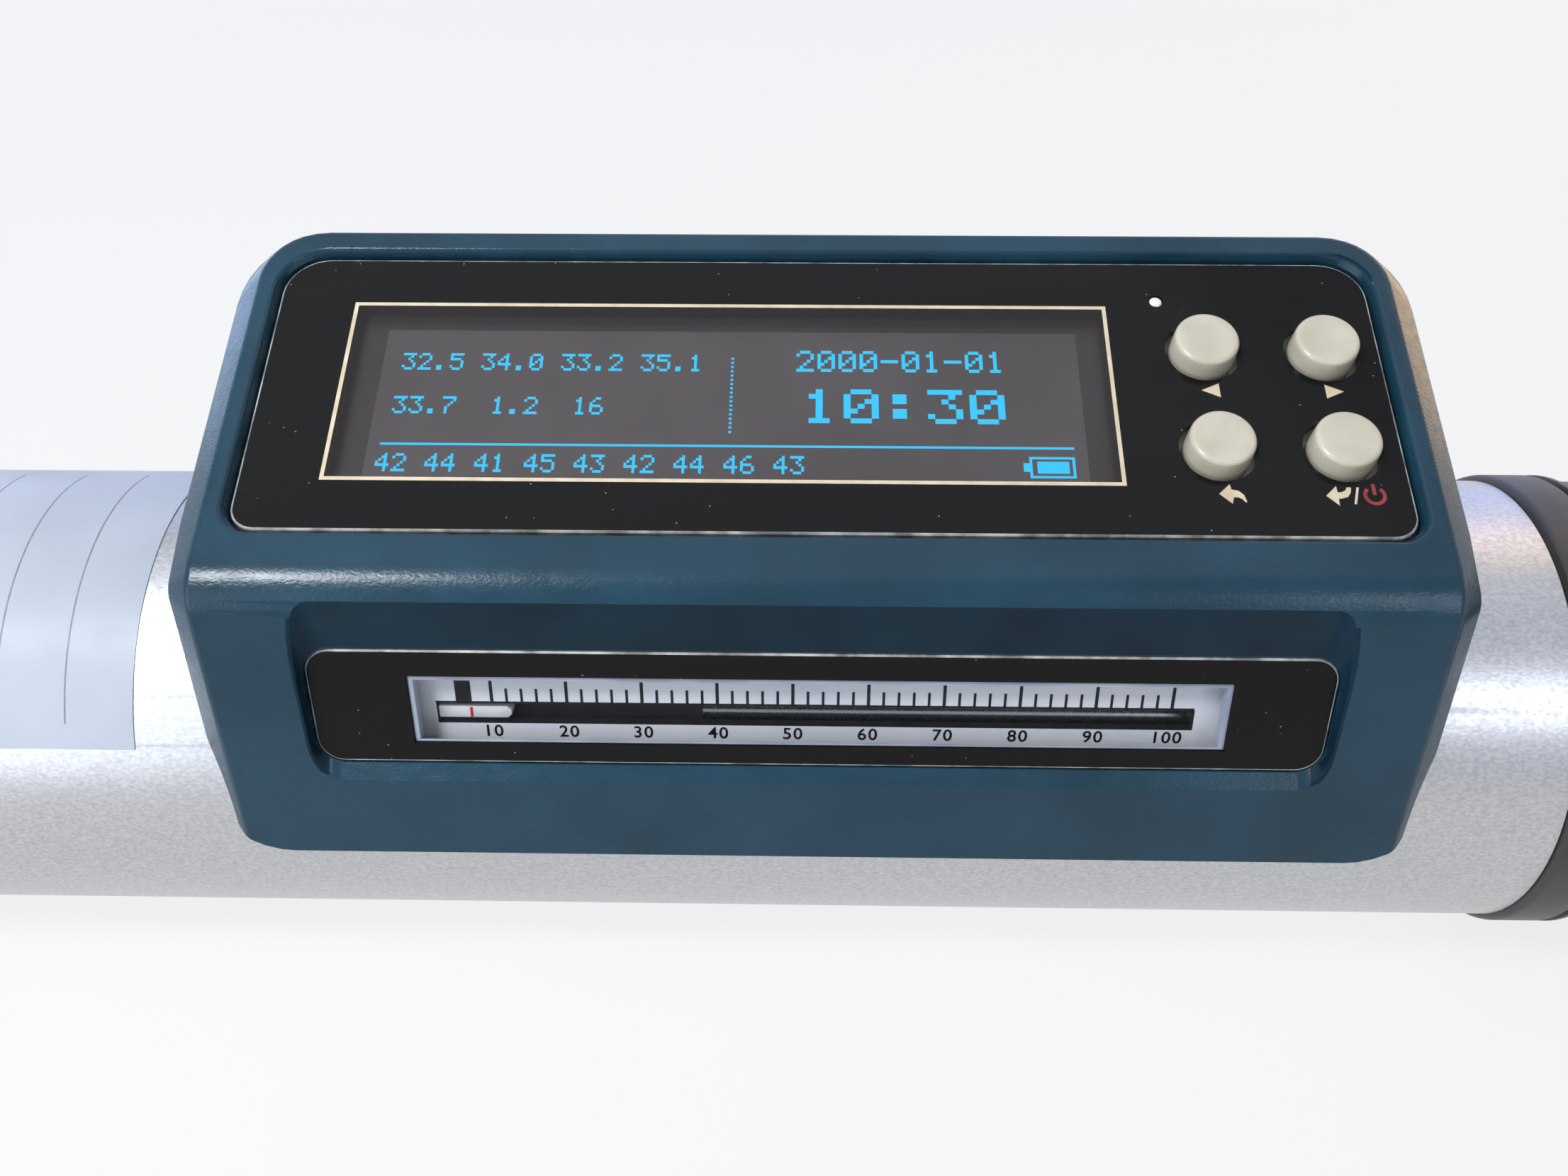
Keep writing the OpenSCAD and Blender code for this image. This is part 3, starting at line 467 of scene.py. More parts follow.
inner_black = finish("moulded_nylon_black", "#202024", 0.5, Specular_IOR_Level=0.3)
vary_color(inner_black, "#1b1b1f", "#27272b", 2)

# %% [markdown]
# ### Acrylic and glass
# Both panels are acrylic sheet printed black behind, so they shine like glass, with faint wiping
# marks and a few specks of dust: the cells of a Voronoi pattern near their middle points. The window
# over the screen is the same sheet left clear, and the screen behind it is a dark glass that looks
# brownish grey when its pixels are off.

# %% Acrylic and glass
panel_black = finish("acrylic_sheet_printed_black", "#121111", 0.12, IOR=1.49, Specular_IOR_Level=0.14)
DUST_SPREAD = 2
tree = panel_black.node_tree
spot = add(tree, "ShaderNodeTexCoord").outputs["Object"]
dust = add(tree, "ShaderNodeTexVoronoi", {"Vector": spot, "Scale": 1 / (DUST_SPREAD * MM)}).outputs["Distance"]
shade_by(panel_black, "#8e8c88", "#121111", dust, (0.03, 0.045))
vary_gloss(panel_black, 0.08, 0.24, 5, (0.25, 1, 1))
raise_grain(panel_black, 0.02, 0.25, 7)

cut_edge = finish("acrylic_sheet_routed_edge", "#8f8d88", 0.45)
vary_color(cut_edge, "#75726e", "#c9c7c1", 2.5, (1, 1, 1), 5, span=(0.38, 0.66))

clear_pane = finish("acrylic_sheet_clear", "#24272c", 0.04, IOR=1.49, Alpha=0.08)
vary_gloss(clear_pane, 0.02, 0.08, 6, (0.3, 1, 1))

smoke_pane = finish("acrylic_sheet_smoked", "#4a4444", 0.08, IOR=1.49, Alpha=0.25)
vary_gloss(smoke_pane, 0.05, 0.16, 6, (0.3, 1, 1))
raise_grain(smoke_pane, 0.02, 0.25, 9)

screen_edge = finish("display_glass_border", "#2f2b2a", 0.3)
vary_color(screen_edge, "#2a2625", "#353130", 12)

screen_dark = finish("display_glass_unlit", "#6b6363", 0.35)
vary_color(screen_dark, "#645c5b", "#746c6c", 16)

pixel_blue = finish("display_pixels_lit", "#02202c", 0.5, Emission_Strength=1.7)
pixel_blue.node_tree.nodes["Principled BSDF"].inputs["Emission Color"].default_value = linear("#00c4fb")

light_white = finish("light_pipe_white", "#f2f2ec", 0.2)
vary_color(light_white, "#ecece6", "#f8f8f4", 0.8)

# %% [markdown]
# ### Metals
# The barrel is aluminium tube, blasted with sand and clear anodised: a satin silver with tiny glints.
# The grit is finer than the picture can show, so its relief is drawn at about a quarter of a millimetre.
# The plunger is ground steel, the small parts are turned, and the springs are oiled wire.

# %% Metals
barrel_metal = finish("sand_blasted_anodised_aluminium", "#bebec1", 0.34, Metallic=1.0)
vary_color(barrel_metal, "#b6b6b9", "#c8c8ca", 0.3, (0.6, 1, 1), 2)
vary_gloss(barrel_metal, 0.28, 0.42, 0.5)
raise_grain(barrel_metal, 0.03, 0.3, 0.26, (0.6, 1, 1), 2)

cap_metal = finish("turned_aluminium", "#a9a9ab", 0.32, Metallic=1.0)
vary_gloss(cap_metal, 0.24, 0.4, 0.4, (4, 1, 1))
raise_grain(cap_metal, 0.01, 0.4, 0.3, (5, 0.2, 0.2))

steel = finish("ground_steel", "#a9abae", 0.25, Metallic=1.0)
vary_gloss(steel, 0.18, 0.34, 0.3, (4, 0.5, 0.5))
raise_grain(steel, 0.008, 0.35, 0.25, (6, 0.3, 0.3))

spring_steel = finish("oiled_spring_wire", "#6b6d72", 0.34, Metallic=1.0)
vary_gloss(spring_steel, 0.26, 0.44, 0.8)

disc_brass = finish("turned_brass", "#b7975a", 0.3, Metallic=1.0)
vary_gloss(disc_brass, 0.22, 0.38, 0.5, (4, 1, 1))

button_black = finish("black_oxide_steel", "#2c2c2e", 0.38, Metallic=0.6)
vary_gloss(button_black, 0.3, 0.48, 0.6)

# %% [markdown]
# ### Paint, print, felt and electronics
# Printed marks are a thin coat of ink with its own soft gloss. The pieces inside the casing get plain
# finishes of their own: green solder mask, sleeved cells and grey felt.

# %% Other finishes
scale_white = finish("white_enamel_plate", "#f4f7fd", 0.4)
vary_color(scale_white, "#f0f3fa", "#f7f9fe", 12)
ink_dark = finish("printing_ink_dark", "#1c1c20", 0.5, Specular_IOR_Level=0.2)
vary_color(ink_dark, "#18181b", "#232327", 1)
ink_grey = finish("printing_ink_grey", "#7d7e84", 0.5)
vary_color(ink_grey, "#74757b", "#86878c", 1)
ink_beige = finish("printing_ink_beige", "#dcc9a8", 0.5)
vary_color(ink_beige, "#d4c09e", "#e4d3b6", 2)
ink_red = finish("printing_ink_red", "#8f2f2d", 0.5)
vary_color(ink_red, "#86292a", "#9a3633", 1)
line_red = finish("pointer_paint_red", "#c40f16", 0.45)
vary_color(line_red, "#b80c12", "#ce141c", 0.5)
film_clear = finish("satin_polyester_film", "#b4bac4", 0.4, Specular_IOR_Level=0.25)
vary_color(film_clear, "#b0b6c0", "#b9bfc9", 14)
vary_gloss(film_clear, 0.34, 0.46, 3)
felt = finish("pressed_felt", "#4a4a48", 0.95)
raise_grain(felt, 0.2, 1, 0.6)
board_green = finish("solder_mask_green", "#1f5a36", 0.3)
vary_color(board_green, "#1b5030", "#256640", 3)
cell_blue = finish("shrink_sleeve_blue", "#3f6fae", 0.3)
vary_color(cell_blue, "#38649f", "#4878b6", 5)

LOOKS = {
    "barrel_metal": barrel_metal, "film": film_clear, "cap_metal": cap_metal, "felt": felt,
    "cover_plastic": cover_black, "steel": steel, "disc_brass": disc_brass, "spring_steel": spring_steel,
    "button_black": button_black, "rider_white": rider_white, "scale_white": scale_white,
    "clear_pane": clear_pane, "bezel_grey": bezel_grey, "panel_black": panel_black,
    "housing_teal": teal, "display_dark": screen_edge, "board_green": board_green,
    "inner_black": inner_black, "light_white": light_white, "cell_blue": cell_blue, "key_white": key_white,
}

# %% [markdown]
# ### Finishes on the imported nodes
# Pieces inside the casing keep their imported shape, because nobody sees their edges. The record names a
# finish slot for each node, so one loop dresses them all. Only the hammer is blackened, not bright: it
# lies behind the slot of the scale, and its black is painted shade there.

# %% Dress the imported nodes
for entry in frame["record"]["subparts"]:
    data = frame["nodes"][entry["node"]].data
    data.materials.clear()
    data.materials.append(LOOKS[entry["material_slot"]])
# The hammer's black is painted shade that darkens the scale's slot.
frame["nodes"]["hammer_mass"].data.materials[0] = button_black

# %% [markdown]
# ## The housing
# The housing is one moulding: a front face that leans back, a display face tilted to the user and a
# steep back wall. It could be lofted or built from a subdivided cage, but its faces are flat and its
# edges have steady sizes, so a box with moved corners and bevels gives truer lines.

# %% Section of the housing
FRONT_LEAN = math.radians(83.5)
BACK_LEAN = math.radians(99)
house_low, house_high = mm_box("display_housing")
rim = max((vert.co / MM).dot(display_out) for vert in frame["nodes"]["display_housing"].data.vertices)


def up_the_wall(foot, lean, inset):
    """Where a wall that leans from its foot reaches the display face, as a point in Y and Z."""
    way = Vector((0, math.cos(lean), math.sin(lean)))
    return foot + way * (rim - inset - foot.dot(display_out)) / way.dot(display_out)


def housing_section(name, x0, x1, front, top, back, base):
    """Box whose section follows the housing's walls, moved in by the given depths."""
    front_in = Vector((0, math.sin(FRONT_LEAN), -math.cos(FRONT_LEAN)))
    back_in = Vector((0, -math.sin(BACK_LEAN), math.cos(BACK_LEAN)))
    foot = Vector((0, house_low.y, house_low.z)) + front * front_in
    heel = Vector((0, house_high.y, house_low.z)) + back * back_in
    foot -= Vector((0, 1 / math.tan(FRONT_LEAN), 1)) * (foot.z - base)
    heel -= Vector((0, 1 / math.tan(BACK_LEAN), 1)) * (heel.z - base)
    ridge = up_the_wall(foot, FRONT_LEAN, top)
    crest = up_the_wall(heel, BACK_LEAN, top)
    piece = box(name, (x0, foot.y, base), (x1, heel.y, base + 1))
    edit(piece)
    for corner, start in ((ridge, foot), (crest, heel)):
        pick("verts", lambda v: v.co.z > base + 0.5 and abs(v.co.y - start.y) < 0.01)
        bpy.ops.transform.translate(value=corner - start - Vector((0, 0, 1)))
    shut()
    return piece, ridge


# %% [markdown]
# The back corners are rounded first, then the ridge between the two faces. The outline round both
# faces is chamfered next: broad along the sides and fine along the top, so each edge gets a bevel
# weight that falls off round the corner, and one Bevel modifier follows the weights. A second, tiny
# bevel breaks the chamfer's own edges so that they catch a thin line of light.

# %% Round the housing's edges
CORNER_R = 8
CORNER_STEPS = 8
RIDGE_R = 5
CHAMFER = 3.1
TOP_SHARE = 0.3
EDGE_BREAK = 0.4
SHARP_TURN = math.radians(28)
END_INSET = 0.35
house_x0, house_x1 = house_low.x + END_INSET, house_high.x - END_INSET
housing, ridge = housing_section("housing_shell", house_x0, house_x1, 0, 0, 0, house_low.z)
edit(housing)
pick("edges", lambda e: all(p.y > 0 for p in ends(e)) and abs(ends(e)[0].x - ends(e)[1].x) < 0.01)
round_edges(CORNER_R, CORNER_STEPS)
pick("edges", lambda e: all((p - ridge).yz.length < 0.01 for p in ends(e)))
half_turn = (FRONT_LEAN - math.acos(display_out.z)) / 2
round_edges(RIDGE_R * math.tan(half_turn), 6)


def on_faces(face):
    """Whether a face belongs to the display face, the ridge or the front face."""
    return abs(face.normal.x) < 0.01 and face.normal.dot(TOWARDS_VIEWER) > 0.4


def off_foot(edge):
    """Whether an edge lies above the housing's foot and between two faces."""
    return max(p.z for p in ends(edge)) > house_low.z + 0.01 and len(edge.link_faces) == 2


def on_outline(edge):
    """Whether an edge bounds the display face, the ridge or the front face."""
    return off_foot(edge) and on_faces(edge.link_faces[0]) != on_faces(edge.link_faces[1])


def edge_weight(edge):
    """Bevel weight of an outline edge: full along the sides, falling to the top's share round the corner."""
    way = ends(edge)[1] - ends(edge)[0]
    turn = math.atan2(abs(way.x), way.yz.length) / (math.pi / 2)
    return round(1 - (1 - TOP_SHARE) * turn, 2)


shape = bmesh.from_edit_mesh(housing.data)
weights = sorted({edge_weight(e) for e in shape.edges if on_outline(e)})
for weight in weights:
    pick("edges", lambda e: on_outline(e) and edge_weight(e) == weight)
    bpy.ops.transform.edge_bevelweight(value=weight)
use(housing, "BEVEL", limit_method="WEIGHT", width=CHAMFER, segments=1, use_clamp_overlap=False)
bevel(housing, lambda e: off_foot(e) and e.calc_face_angle(0) > SHARP_TURN, EDGE_BREAK, 2)
print("housing faces:", len(housing.data.polygons))

# %% [markdown]
# The lower corners are rounded by keeping only what lies inside a rounded tablet. The hollow, the
# saddle that sits on the barrel and the openings are then cut, each with its own plain cutter.

# %% Cut the housing
SADDLE_GAP = 0.02
BACK_WALL = 2.5
FRONT_WALL = 5.2
DISPLAY_WALL = 4
barrel_low, barrel_high = mm_box("barrel_tube")
barrel_r = barrel_high.z
front_up = Vector((0, math.cos(FRONT_LEAN), math.sin(FRONT_LEAN)))
on_front = Matrix((X_AXIS, front_up, X_AXIS.cross(front_up))).transposed().to_4x4()
on_front.translation = Vector((0, house_low.y, house_low.z))
tablet = plate("tablet", (house_x0 - 0.01, -0.01, -100), (house_x1 + 0.01, 120, 60), CORNER_R, 1)
cut(housing, tablet, on_front, "INTERSECT")
cavity, _ = housing_section("cavity", house_low.x + BACK_WALL, house_high.x - BACK_WALL,
                            FRONT_WALL, DISPLAY_WALL, BACK_WALL, house_low.z - 1)
cut(housing, cavity)
deselect()
bpy.ops.mesh.primitive_cylinder_add(vertices=192, radius=barrel_r + SADDLE_GAP, depth=400,
                                    location=(170, 0, 0), rotation=(0, math.pi / 2, 0))
cut(housing, bpy.context.object)
print("housing faces after the saddle:", len(housing.data.polygons))

# %% [markdown]
# The display panel lies in a shallow pocket whose wall slopes a little to a rounded lip. The scale's
# recess gets deeper towards its top, where a slope leads down from the front face to the panel, and a
# shorter slope leads out below it. Its rim is broken with a small bevel, and its walls come from a
# polished part of the tool, so they have no grain. They are painted a darker teal than the housing:
# painted shade in the recess.

# %% Pocket of the display panel
PANEL_GAP = 0.4
PANEL_T = 1.5
LIP_SLOPE = 0.4
LIP_BREAK = 0.3
display_half = (mm_box("display_panel")[1] - mm_box("display_panel")[0]).x / 2
DISPLAY_HALF_H = 16.75
LEDGE = 1.2
rim_rise = rim - on_display.translation.dot(display_out)

reach = Vector((display_half + PANEL_GAP, DISPLAY_HALF_H + PANEL_GAP, 0))
pocket = plate("pocket", (-reach.x, -reach.y, -PANEL_T), (reach.x, reach.y, 0), 3, 5)
edit(pocket)
pick("faces", lambda f: f.normal.z > 0.9)
bpy.ops.mesh.extrude_region_move(TRANSFORM_OT_translate={"value": (0, 0, rim_rise)})
bpy.ops.transform.resize(value=(1 + LIP_SLOPE / reach.x, 1 + LIP_SLOPE / reach.y, 1), center_override=(0, 0, 0))
bpy.ops.mesh.extrude_region_move(TRANSFORM_OT_translate={"value": (0, 0, 5)})
cut(housing, pocket, on_display)
cut(housing, box("opening", (-display_half + LEDGE, -DISPLAY_HALF_H + LEDGE, -8),
                 (display_half - LEDGE, DISPLAY_HALF_H - LEDGE, -PANEL_T + 0.1)), on_display)
to_display = on_display.inverted()


def on_lip(edge):
    """Whether an edge runs along the pocket's mouth."""
    spots = [to_display @ point for point in ends(edge)]
    return all(abs(spot.z - rim_rise) < 0.01 and abs(spot.x) < reach.x + 1 and abs(spot.y) < reach.y + 1
               for spot in spots) and edge.calc_face_angle(0) > 0.5


bevel(housing, on_lip, LIP_BREAK, 3)
print("housing faces after the display pocket:", len(housing.data.polygons))

# %% Recess of the scale panel
scale_half = (mm_box("scale_panel")[1] - mm_box("scale_panel")[0]).x / 2
SCALE_HALF_H = 6.425
RECESS_SLOPE = 3
LOW_SLOPE = 1.5
SCALE_GAP = 0.15
RECESS_CORNER = 2.5
RECESS_LEDGE = 0.08
RECESS_REACH = 7
RIM_BREAK = 0.35

reach = Vector((scale_half + SCALE_GAP, SCALE_HALF_H + SCALE_GAP, 0))
cut(housing, plate("scale_pocket", (-reach.x, -reach.y, -PANEL_T), (reach.x, reach.y, 0.5), 3, 3), on_scale)
reach += Vector((RECESS_LEDGE, RECESS_LEDGE, 0))
recess = box("recess", (-reach.x, -reach.y, 0), (reach.x, reach.y, RECESS_REACH))
edit(recess)
pick("verts", lambda v: v.co.y > 0 and v.co.z > 1)
bpy.ops.transform.translate(value=(0, RECESS_REACH * RECESS_SLOPE, 0))
pick("verts", lambda v: v.co.y < 0 and v.co.z > 1)
bpy.ops.transform.translate(value=(0, -RECESS_REACH * LOW_SLOPE, 0))
pick("edges", lambda e: abs(ends(e)[0].x - ends(e)[1].x) < 0.01 and abs(ends(e)[0].z - ends(e)[1].z) > 1)
round_edges(RECESS_CORNER, 6)
shut()
cut(housing, recess, on_scale)

front_out = X_AXIS.cross(front_up)
to_scale = on_scale.inverted()


def near_scale(point):
    """Whether a point lies in the field of the scale's recess."""
    spot = to_scale @ point
    return abs(spot.x) < reach.x + 2 and -reach.y - 1 < spot.y < 16 and spot.z > -1


def on_rim(edge):
    """Whether an edge lies between the front face and the recess."""
    return (len(edge.link_faces) == 2 and all(near_scale(p) for p in ends(edge))
            and sum(f.normal.dot(front_out) > 0.999 for f in edge.link_faces) == 1
            and edge.calc_face_angle(0) > math.radians(5))


bevel(housing, on_rim, RIM_BREAK, 2)
print("housing faces after the recess:", len(housing.data.polygons))

# %% [markdown]
# The last cuts can't be seen from the front: room for the scale plate and the rider behind the panel,
# the hole of the charging socket and the holes of the two screws at the back.

# %% Rooms and holes of the housing
back_out = Vector((0, math.sin(BACK_LEAN), -math.cos(BACK_LEAN)))
on_back = face_frame("housing_screws", back_out)
SCREW_SPREAD = 48.2
SCREW_HEAD_R = 2.8
SCREW_HEAD_T = 1.6
SCREW_R = 1.5
SCREW_HOLE = [(-9, 0), (-9, SCREW_R), (0, SCREW_R), (0, 0)]
ROOMS = {  # name: the frame it lies in, its low and its high corner
    "plate_room": (on_scale, (-43.2, -6.55, -3.65), (43.2, 6.55, -PANEL_T + 0.05)),
    "rider_room": (on_scale, (-39, -7.2, -9), (39, 2.8, -3.6)),
    "socket_hole": (on_display, (4.3, 4, -10.95), (12.4, 25, -7.05)),
}
for name, (place, low, high) in ROOMS.items():
    cut(housing, box(name, low, high), place)
for side in (-1, 1):
    hole = turned("screw_hole", SCREW_HOLE, 32, Z_AXIS)
    cut(housing, hole, on_back @ Matrix.Translation((side * SCREW_SPREAD, 0, 0)))
housing.data.materials.append(teal)
# The recess walls take the darker teal, which is painted shade.
assign(housing, teal_recess_shade, lambda f: all(near_scale(v.co) for v in f.verts)
       and f.normal.dot(front_out) < 0.99)
settle(housing, teal, "barrel", ["display_housing"])
use(housing, "WEIGHTED_NORMAL", keep_sharp=True)

# %% [markdown]
# ## Display panel
# The panel is one acrylic sheet, cut with a router: its rim shows a thin frosted edge, which is a
# narrow bevel with a finish of its own. The field over the screen is the same sheet without the black
# print, so it is a piece of its own with a smoky clear finish.

# %% Display panel and its window
CUT_EDGE = 0.14
KEY_NODES = ["key_left", "key_right", "key_back", "key_enter"]
KEY_HOLE_R = 3.85
LIGHT_HOLE_R = 0.75
key_spots = [to_display @ face_frame(node, display_out).translation for node in KEY_NODES]
light_spot = to_display @ face_frame("status_light", display_out).translation
WINDOW_LOW = Vector((-48.1, -10.7, -PANEL_T))
WINDOW_HIGH = Vector((28.95, 10.5, 0))


def frosted_rim(piece):
    """Bevel the rim of a sheet's face, and give all but the face itself the look of a cut edge."""
    piece.data.materials.append(panel_black)
    piece.data.materials.append(cut_edge)
    edit(piece)
    pick("edges", lambda e: all(abs(p.z) < 0.001 for p in ends(e)) and e.calc_face_angle(0) > 1)
    round_edges(CUT_EDGE, 1)
    pick("faces", lambda f: f.normal.z > 0.99)
    bpy.ops.mesh.inset(thickness=CUT_EDGE / 2)
    bpy.ops.mesh.select_all(action="INVERT")
    piece.active_material_index = 1
    bpy.ops.object.material_slot_assign()
    shut()


sheet = plate("display_panel_sheet", (-display_half, -DISPLAY_HALF_H, -PANEL_T),
              (display_half, DISPLAY_HALF_H, 0), 2.6, 4.6)
frosted_rim(sheet)
for spot, radius in [(spot, KEY_HOLE_R) for spot in key_spots] + [(light_spot, LIGHT_HOLE_R)]:
    hole = turned("hole", [(-3, 0), (-3, radius), (3, radius), (3, 0)], 64, Z_AXIS)
    cut(sheet, hole, Matrix.Translation((spot.x, spot.y, 0)))
cut(sheet, box("window_hole", WINDOW_LOW - Vector((0, 0, 1)), WINDOW_HIGH + Vector((0, 0, 1))))
settle(sheet, panel_black, "barrel", ["display_panel"], on_display)

hair = Vector((0.01, 0.01, 0))
window = box("display_window", WINDOW_LOW + hair, WINDOW_HIGH - hair)
bevel(window, lambda e: abs(ends(e)[0].z - ends(e)[1].z) > 1, 0.05)
settle(window, smoke_pane, "barrel", (), on_display)

# %% [markdown]
# ## Screen
# The screen is a slab of dark glass under the window. Its lit dots lie in a smaller field, which is
# marked off on the slab's face with four straight cuts and given a lighter grey.

# %% Screen
SCREEN_DEPTH = 2
FIELD_LOW = Vector((-45.2, -10.2, 0))
FIELD_HIGH = Vector((26.4, 8.9, 0))
glass_low, glass_high = Vector((-51.65, -12.95, -1.6)), Vector((32.35, 11.55, 0))
screen = box("screen_glass", glass_low, glass_high)
bevel(screen, lambda e: all(abs(p.z) < 0.001 for p in ends(e)), 0.2)
edit(screen)
for corner in (FIELD_LOW, FIELD_HIGH):
    for way in (X_AXIS, Y_AXIS):
        select_all()
        bpy.ops.mesh.bisect(plane_co=corner, plane_no=way)
shut()
screen.data.materials.append(screen_edge)
assign(screen, screen_dark, lambda f: f.normal.z > 0.9
       and all(FIELD_LOW.x - 0.01 < v.co.x < FIELD_HIGH.x + 0.01 for v in f.verts)
       and all(FIELD_LOW.y - 0.01 < v.co.y < FIELD_HIGH.y + 0.01 for v in f.verts))
settle(screen, screen_edge, "barrel", ["display_glass"], on_display @ lift(-SCREEN_DEPTH))

# %% [markdown]
# ## Lit dots
# The screen shows plain numbers: a few readings on the left, a date and a time on the right and a row
# below. Each character is a grid of five by seven dots. A row is one grid as long as its text, and
# the dots that stay dark are selected and deleted.

# %% Numbers on the screen
DOT = 0.27
LINES = 7
PITCH = 6
GLYPHS = {  # each line of a character is a number whose five bits are its dots
    "0": (14, 17, 19, 21, 25, 17, 14), "1": (4, 12, 4, 4, 4, 4, 14), "2": (14, 17, 1, 2, 4, 8, 31),
    "3": (31, 2, 4, 2, 1, 17, 14), "4": (2, 6, 10, 18, 31, 2, 2), "5": (31, 16, 30, 1, 1, 17, 14),
    "6": (6, 8, 16, 30, 17, 17, 14), "7": (31, 1, 2, 4, 8, 8, 8), "8": (14, 17, 17, 14, 17, 17, 14),
    "9": (14, 17, 17, 15, 1, 2, 12), ".": (0, 0, 0, 0, 0, 12, 12), "-": (0, 0, 0, 31, 0, 0, 0),
    ":": (0, 12, 12, 0, 12, 12, 0), " ": (0,) * LINES,
}


def dot_row(text, left, base, width, height):
    """Row of characters of a given size, as the lit cells of a grid."""
    columns = PITCH * len(text) - 1
    deselect()
    bpy.ops.mesh.primitive_grid_add(x_subdivisions=columns, y_subdivisions=LINES, size=1,
                                    location=(left + width / 2, base + height / 2, 0))
    row = bpy.context.object
    row.scale = (width, height, 1)
    bpy.ops.object.transform_apply()

    def dark(face):
        spot = face.calc_center_median()
        letter, column = divmod(int((spot.x - left) / width * columns), PITCH)
        line = LINES - 1 - int((spot.y - base) / height * LINES)
        return column == PITCH - 1 or not GLYPHS[text[letter]][line] >> (PITCH - 2 - column) & 1

    edit(row)
    pick("faces", dark)
    bpy.ops.mesh.delete(type="FACE")
    shut()
    return row


def tile(low, high):
    """Flat rectangle between two corners."""
    deselect()
    low, high = Vector(low), Vector(high)
    bpy.ops.mesh.primitive_plane_add(size=1, location=((low + high) / 2).to_3d())
    bpy.context.object.scale = (*(high - low), 1)
    bpy.ops.object.transform_apply()
    return bpy.context.object


def tile_frame(low, high, width):
    """Flat rectangular frame with a line of the given width."""
    piece = tile(low, high)
    edit(piece)
    select_all()
    bpy.ops.mesh.inset(thickness=width)
    bpy.ops.mesh.delete(type="FACE")
    shut()
    return piece


rows = [
    dot_row("32.5 34.0 33.2 35.1", -43.2, 3.75, 31.0, 2.15),
    dot_row("33.7  1.2  16", -43.4, -1.75, 21.4, 2.15),
    dot_row("42 44 41 45 43 42 44 46 43", -44.1, -8.75, 42.5, 2.15),
    dot_row("2000-01-01", -2.5, 3.8, 21.3, 2.7),
    dot_row("10:30", -1.9, -2.6, 20.5, 4.2),
]
print("rows of numbers:", [len(row.data.polygons) for row in rows])

# %% [markdown]
# A dotted divider, a rule line and a battery sign complete the picture. All of it is one thin sheet
# on the glass.

# %% Divider, rule line and battery sign
DIVIDER_FOOT = Vector((-9.2, -3.9))
DIVIDER_DOTS = 18
DOT_DEPTH = 0.02
marks = []
for count in range(DIVIDER_DOTS):
    low = DIVIDER_FOOT + Vector((0, 2 * count * DOT))
    marks.append(tile(low, low + Vector((DOT, DOT))))
rule_low, rule_end = Vector((-43.96, -5.6)), 25.15
case_low, case_high = (20.6, -9.0), (25.1, -6.5)
marks += [tile(rule_low, (rule_end, rule_low.y + DOT)), tile_frame(case_low, case_high, DOT)]
tip_low, tip_high = (20.0, -8.25), (20.6, -7.25)
charge_low, charge_high = (21.35, -8.45), (24.5, -7.05)
marks += [tile(tip_low, tip_high), tile(charge_low, charge_high)]
dots = thicken(join("screen_dots", rows + marks), DOT_DEPTH)
settle(dots, pixel_blue, "barrel", (), on_display @ lift(-SCREEN_DEPTH))

# %% [markdown]
# ## Print on the panel
# The panel's print is a beige line round the window, small signs under the keys and a red power sign.
# The signs are flat outlines drawn point by point and given the thickness of a coat of ink.

# %% Printed line and signs
INK = 0.03
LINE_LOW, LINE_HIGH, LINE_T = (-48.5, -11.1), (29.35, 10.9), 0.4
line = thicken(tile_frame(LINE_LOW, LINE_HIGH, LINE_T), INK)
line.name = "window_line"
settle(line, ink_beige, "barrel", (), on_display)

SIGNS = {
    "left": ((38.87, 0.29), [(-0.95, 0), (0.85, 0.85), (0.85, -0.85)]),
    "right": ((51.04, 0.22), [(0.95, 0), (-0.85, -0.85), (-0.85, 0.85)]),
    "back": ((39.37, -11.92), [(-1.35, 0), (-0.2, 1.1), (-0.12, 0.5), (0.55, 0.35), (1, -0.1), (1.2, -0.9),
                               (1.08, -0.95), (0.75, -0.55), (0.4, -0.38), (0, -0.38), (-0.2, -1.1)]),
    "enter": ((49.35, -12.04), [(-1.2, 0), (-0.1, 1.1), (-0.05, 0.38), (0.35, 0.42), (0.7, 0.6), (0.88, 0.95),
                                (1.3, 0.95), (1.2, 0.4), (0.86, -0.12), (0.2, -0.32), (-0.05, -0.32), (-0.1, -1.1)]),
    "slash": ((51.03, -12.02), [(-0.38, -0.95), (-0.14, -0.95), (0.38, 0.95), (0.14, 0.95)]),
}
signs = []
for name, (spot, corners) in SIGNS.items():
    signs.append(flat_shape(name, [(spot[0] + x, spot[1] + y) for x, y in corners]))
settle(thicken(join("key_signs", signs), INK), ink_beige, "barrel", (), on_display)

# %% [markdown]
# The power sign is a flat ring with a gap at the top and a bar in the gap. The ring is a short line
# spun all the way round, with the faces of the gap deleted.

# %% Power sign
POWER = Vector((52.78, -11.97, 0))
RING_IN, RING_OUT = 0.74, 1.1
ring = turned("power_sign", [(0, RING_IN), (0, RING_OUT)], 36, Z_AXIS)
edit(ring)
pick("faces", lambda f: f.calc_center_median().y > RING_IN)
bpy.ops.mesh.delete(type="FACE")
shut()
power = thicken(join("power_sign", [ring, tile((-0.18, 0.05), (0.18, 1.3))]), INK)
settle(power, ink_red, "barrel", (), on_display @ Matrix.Translation(POWER))

# %% [markdown]
# ## Keys and light
# A key is a moulded cap with a soft edge and a slightly dished top, on a flange that keeps it behind
# the panel. It is turned once as a mesh for each of the four places, and each rides on its own body,
# so that it can be pressed.

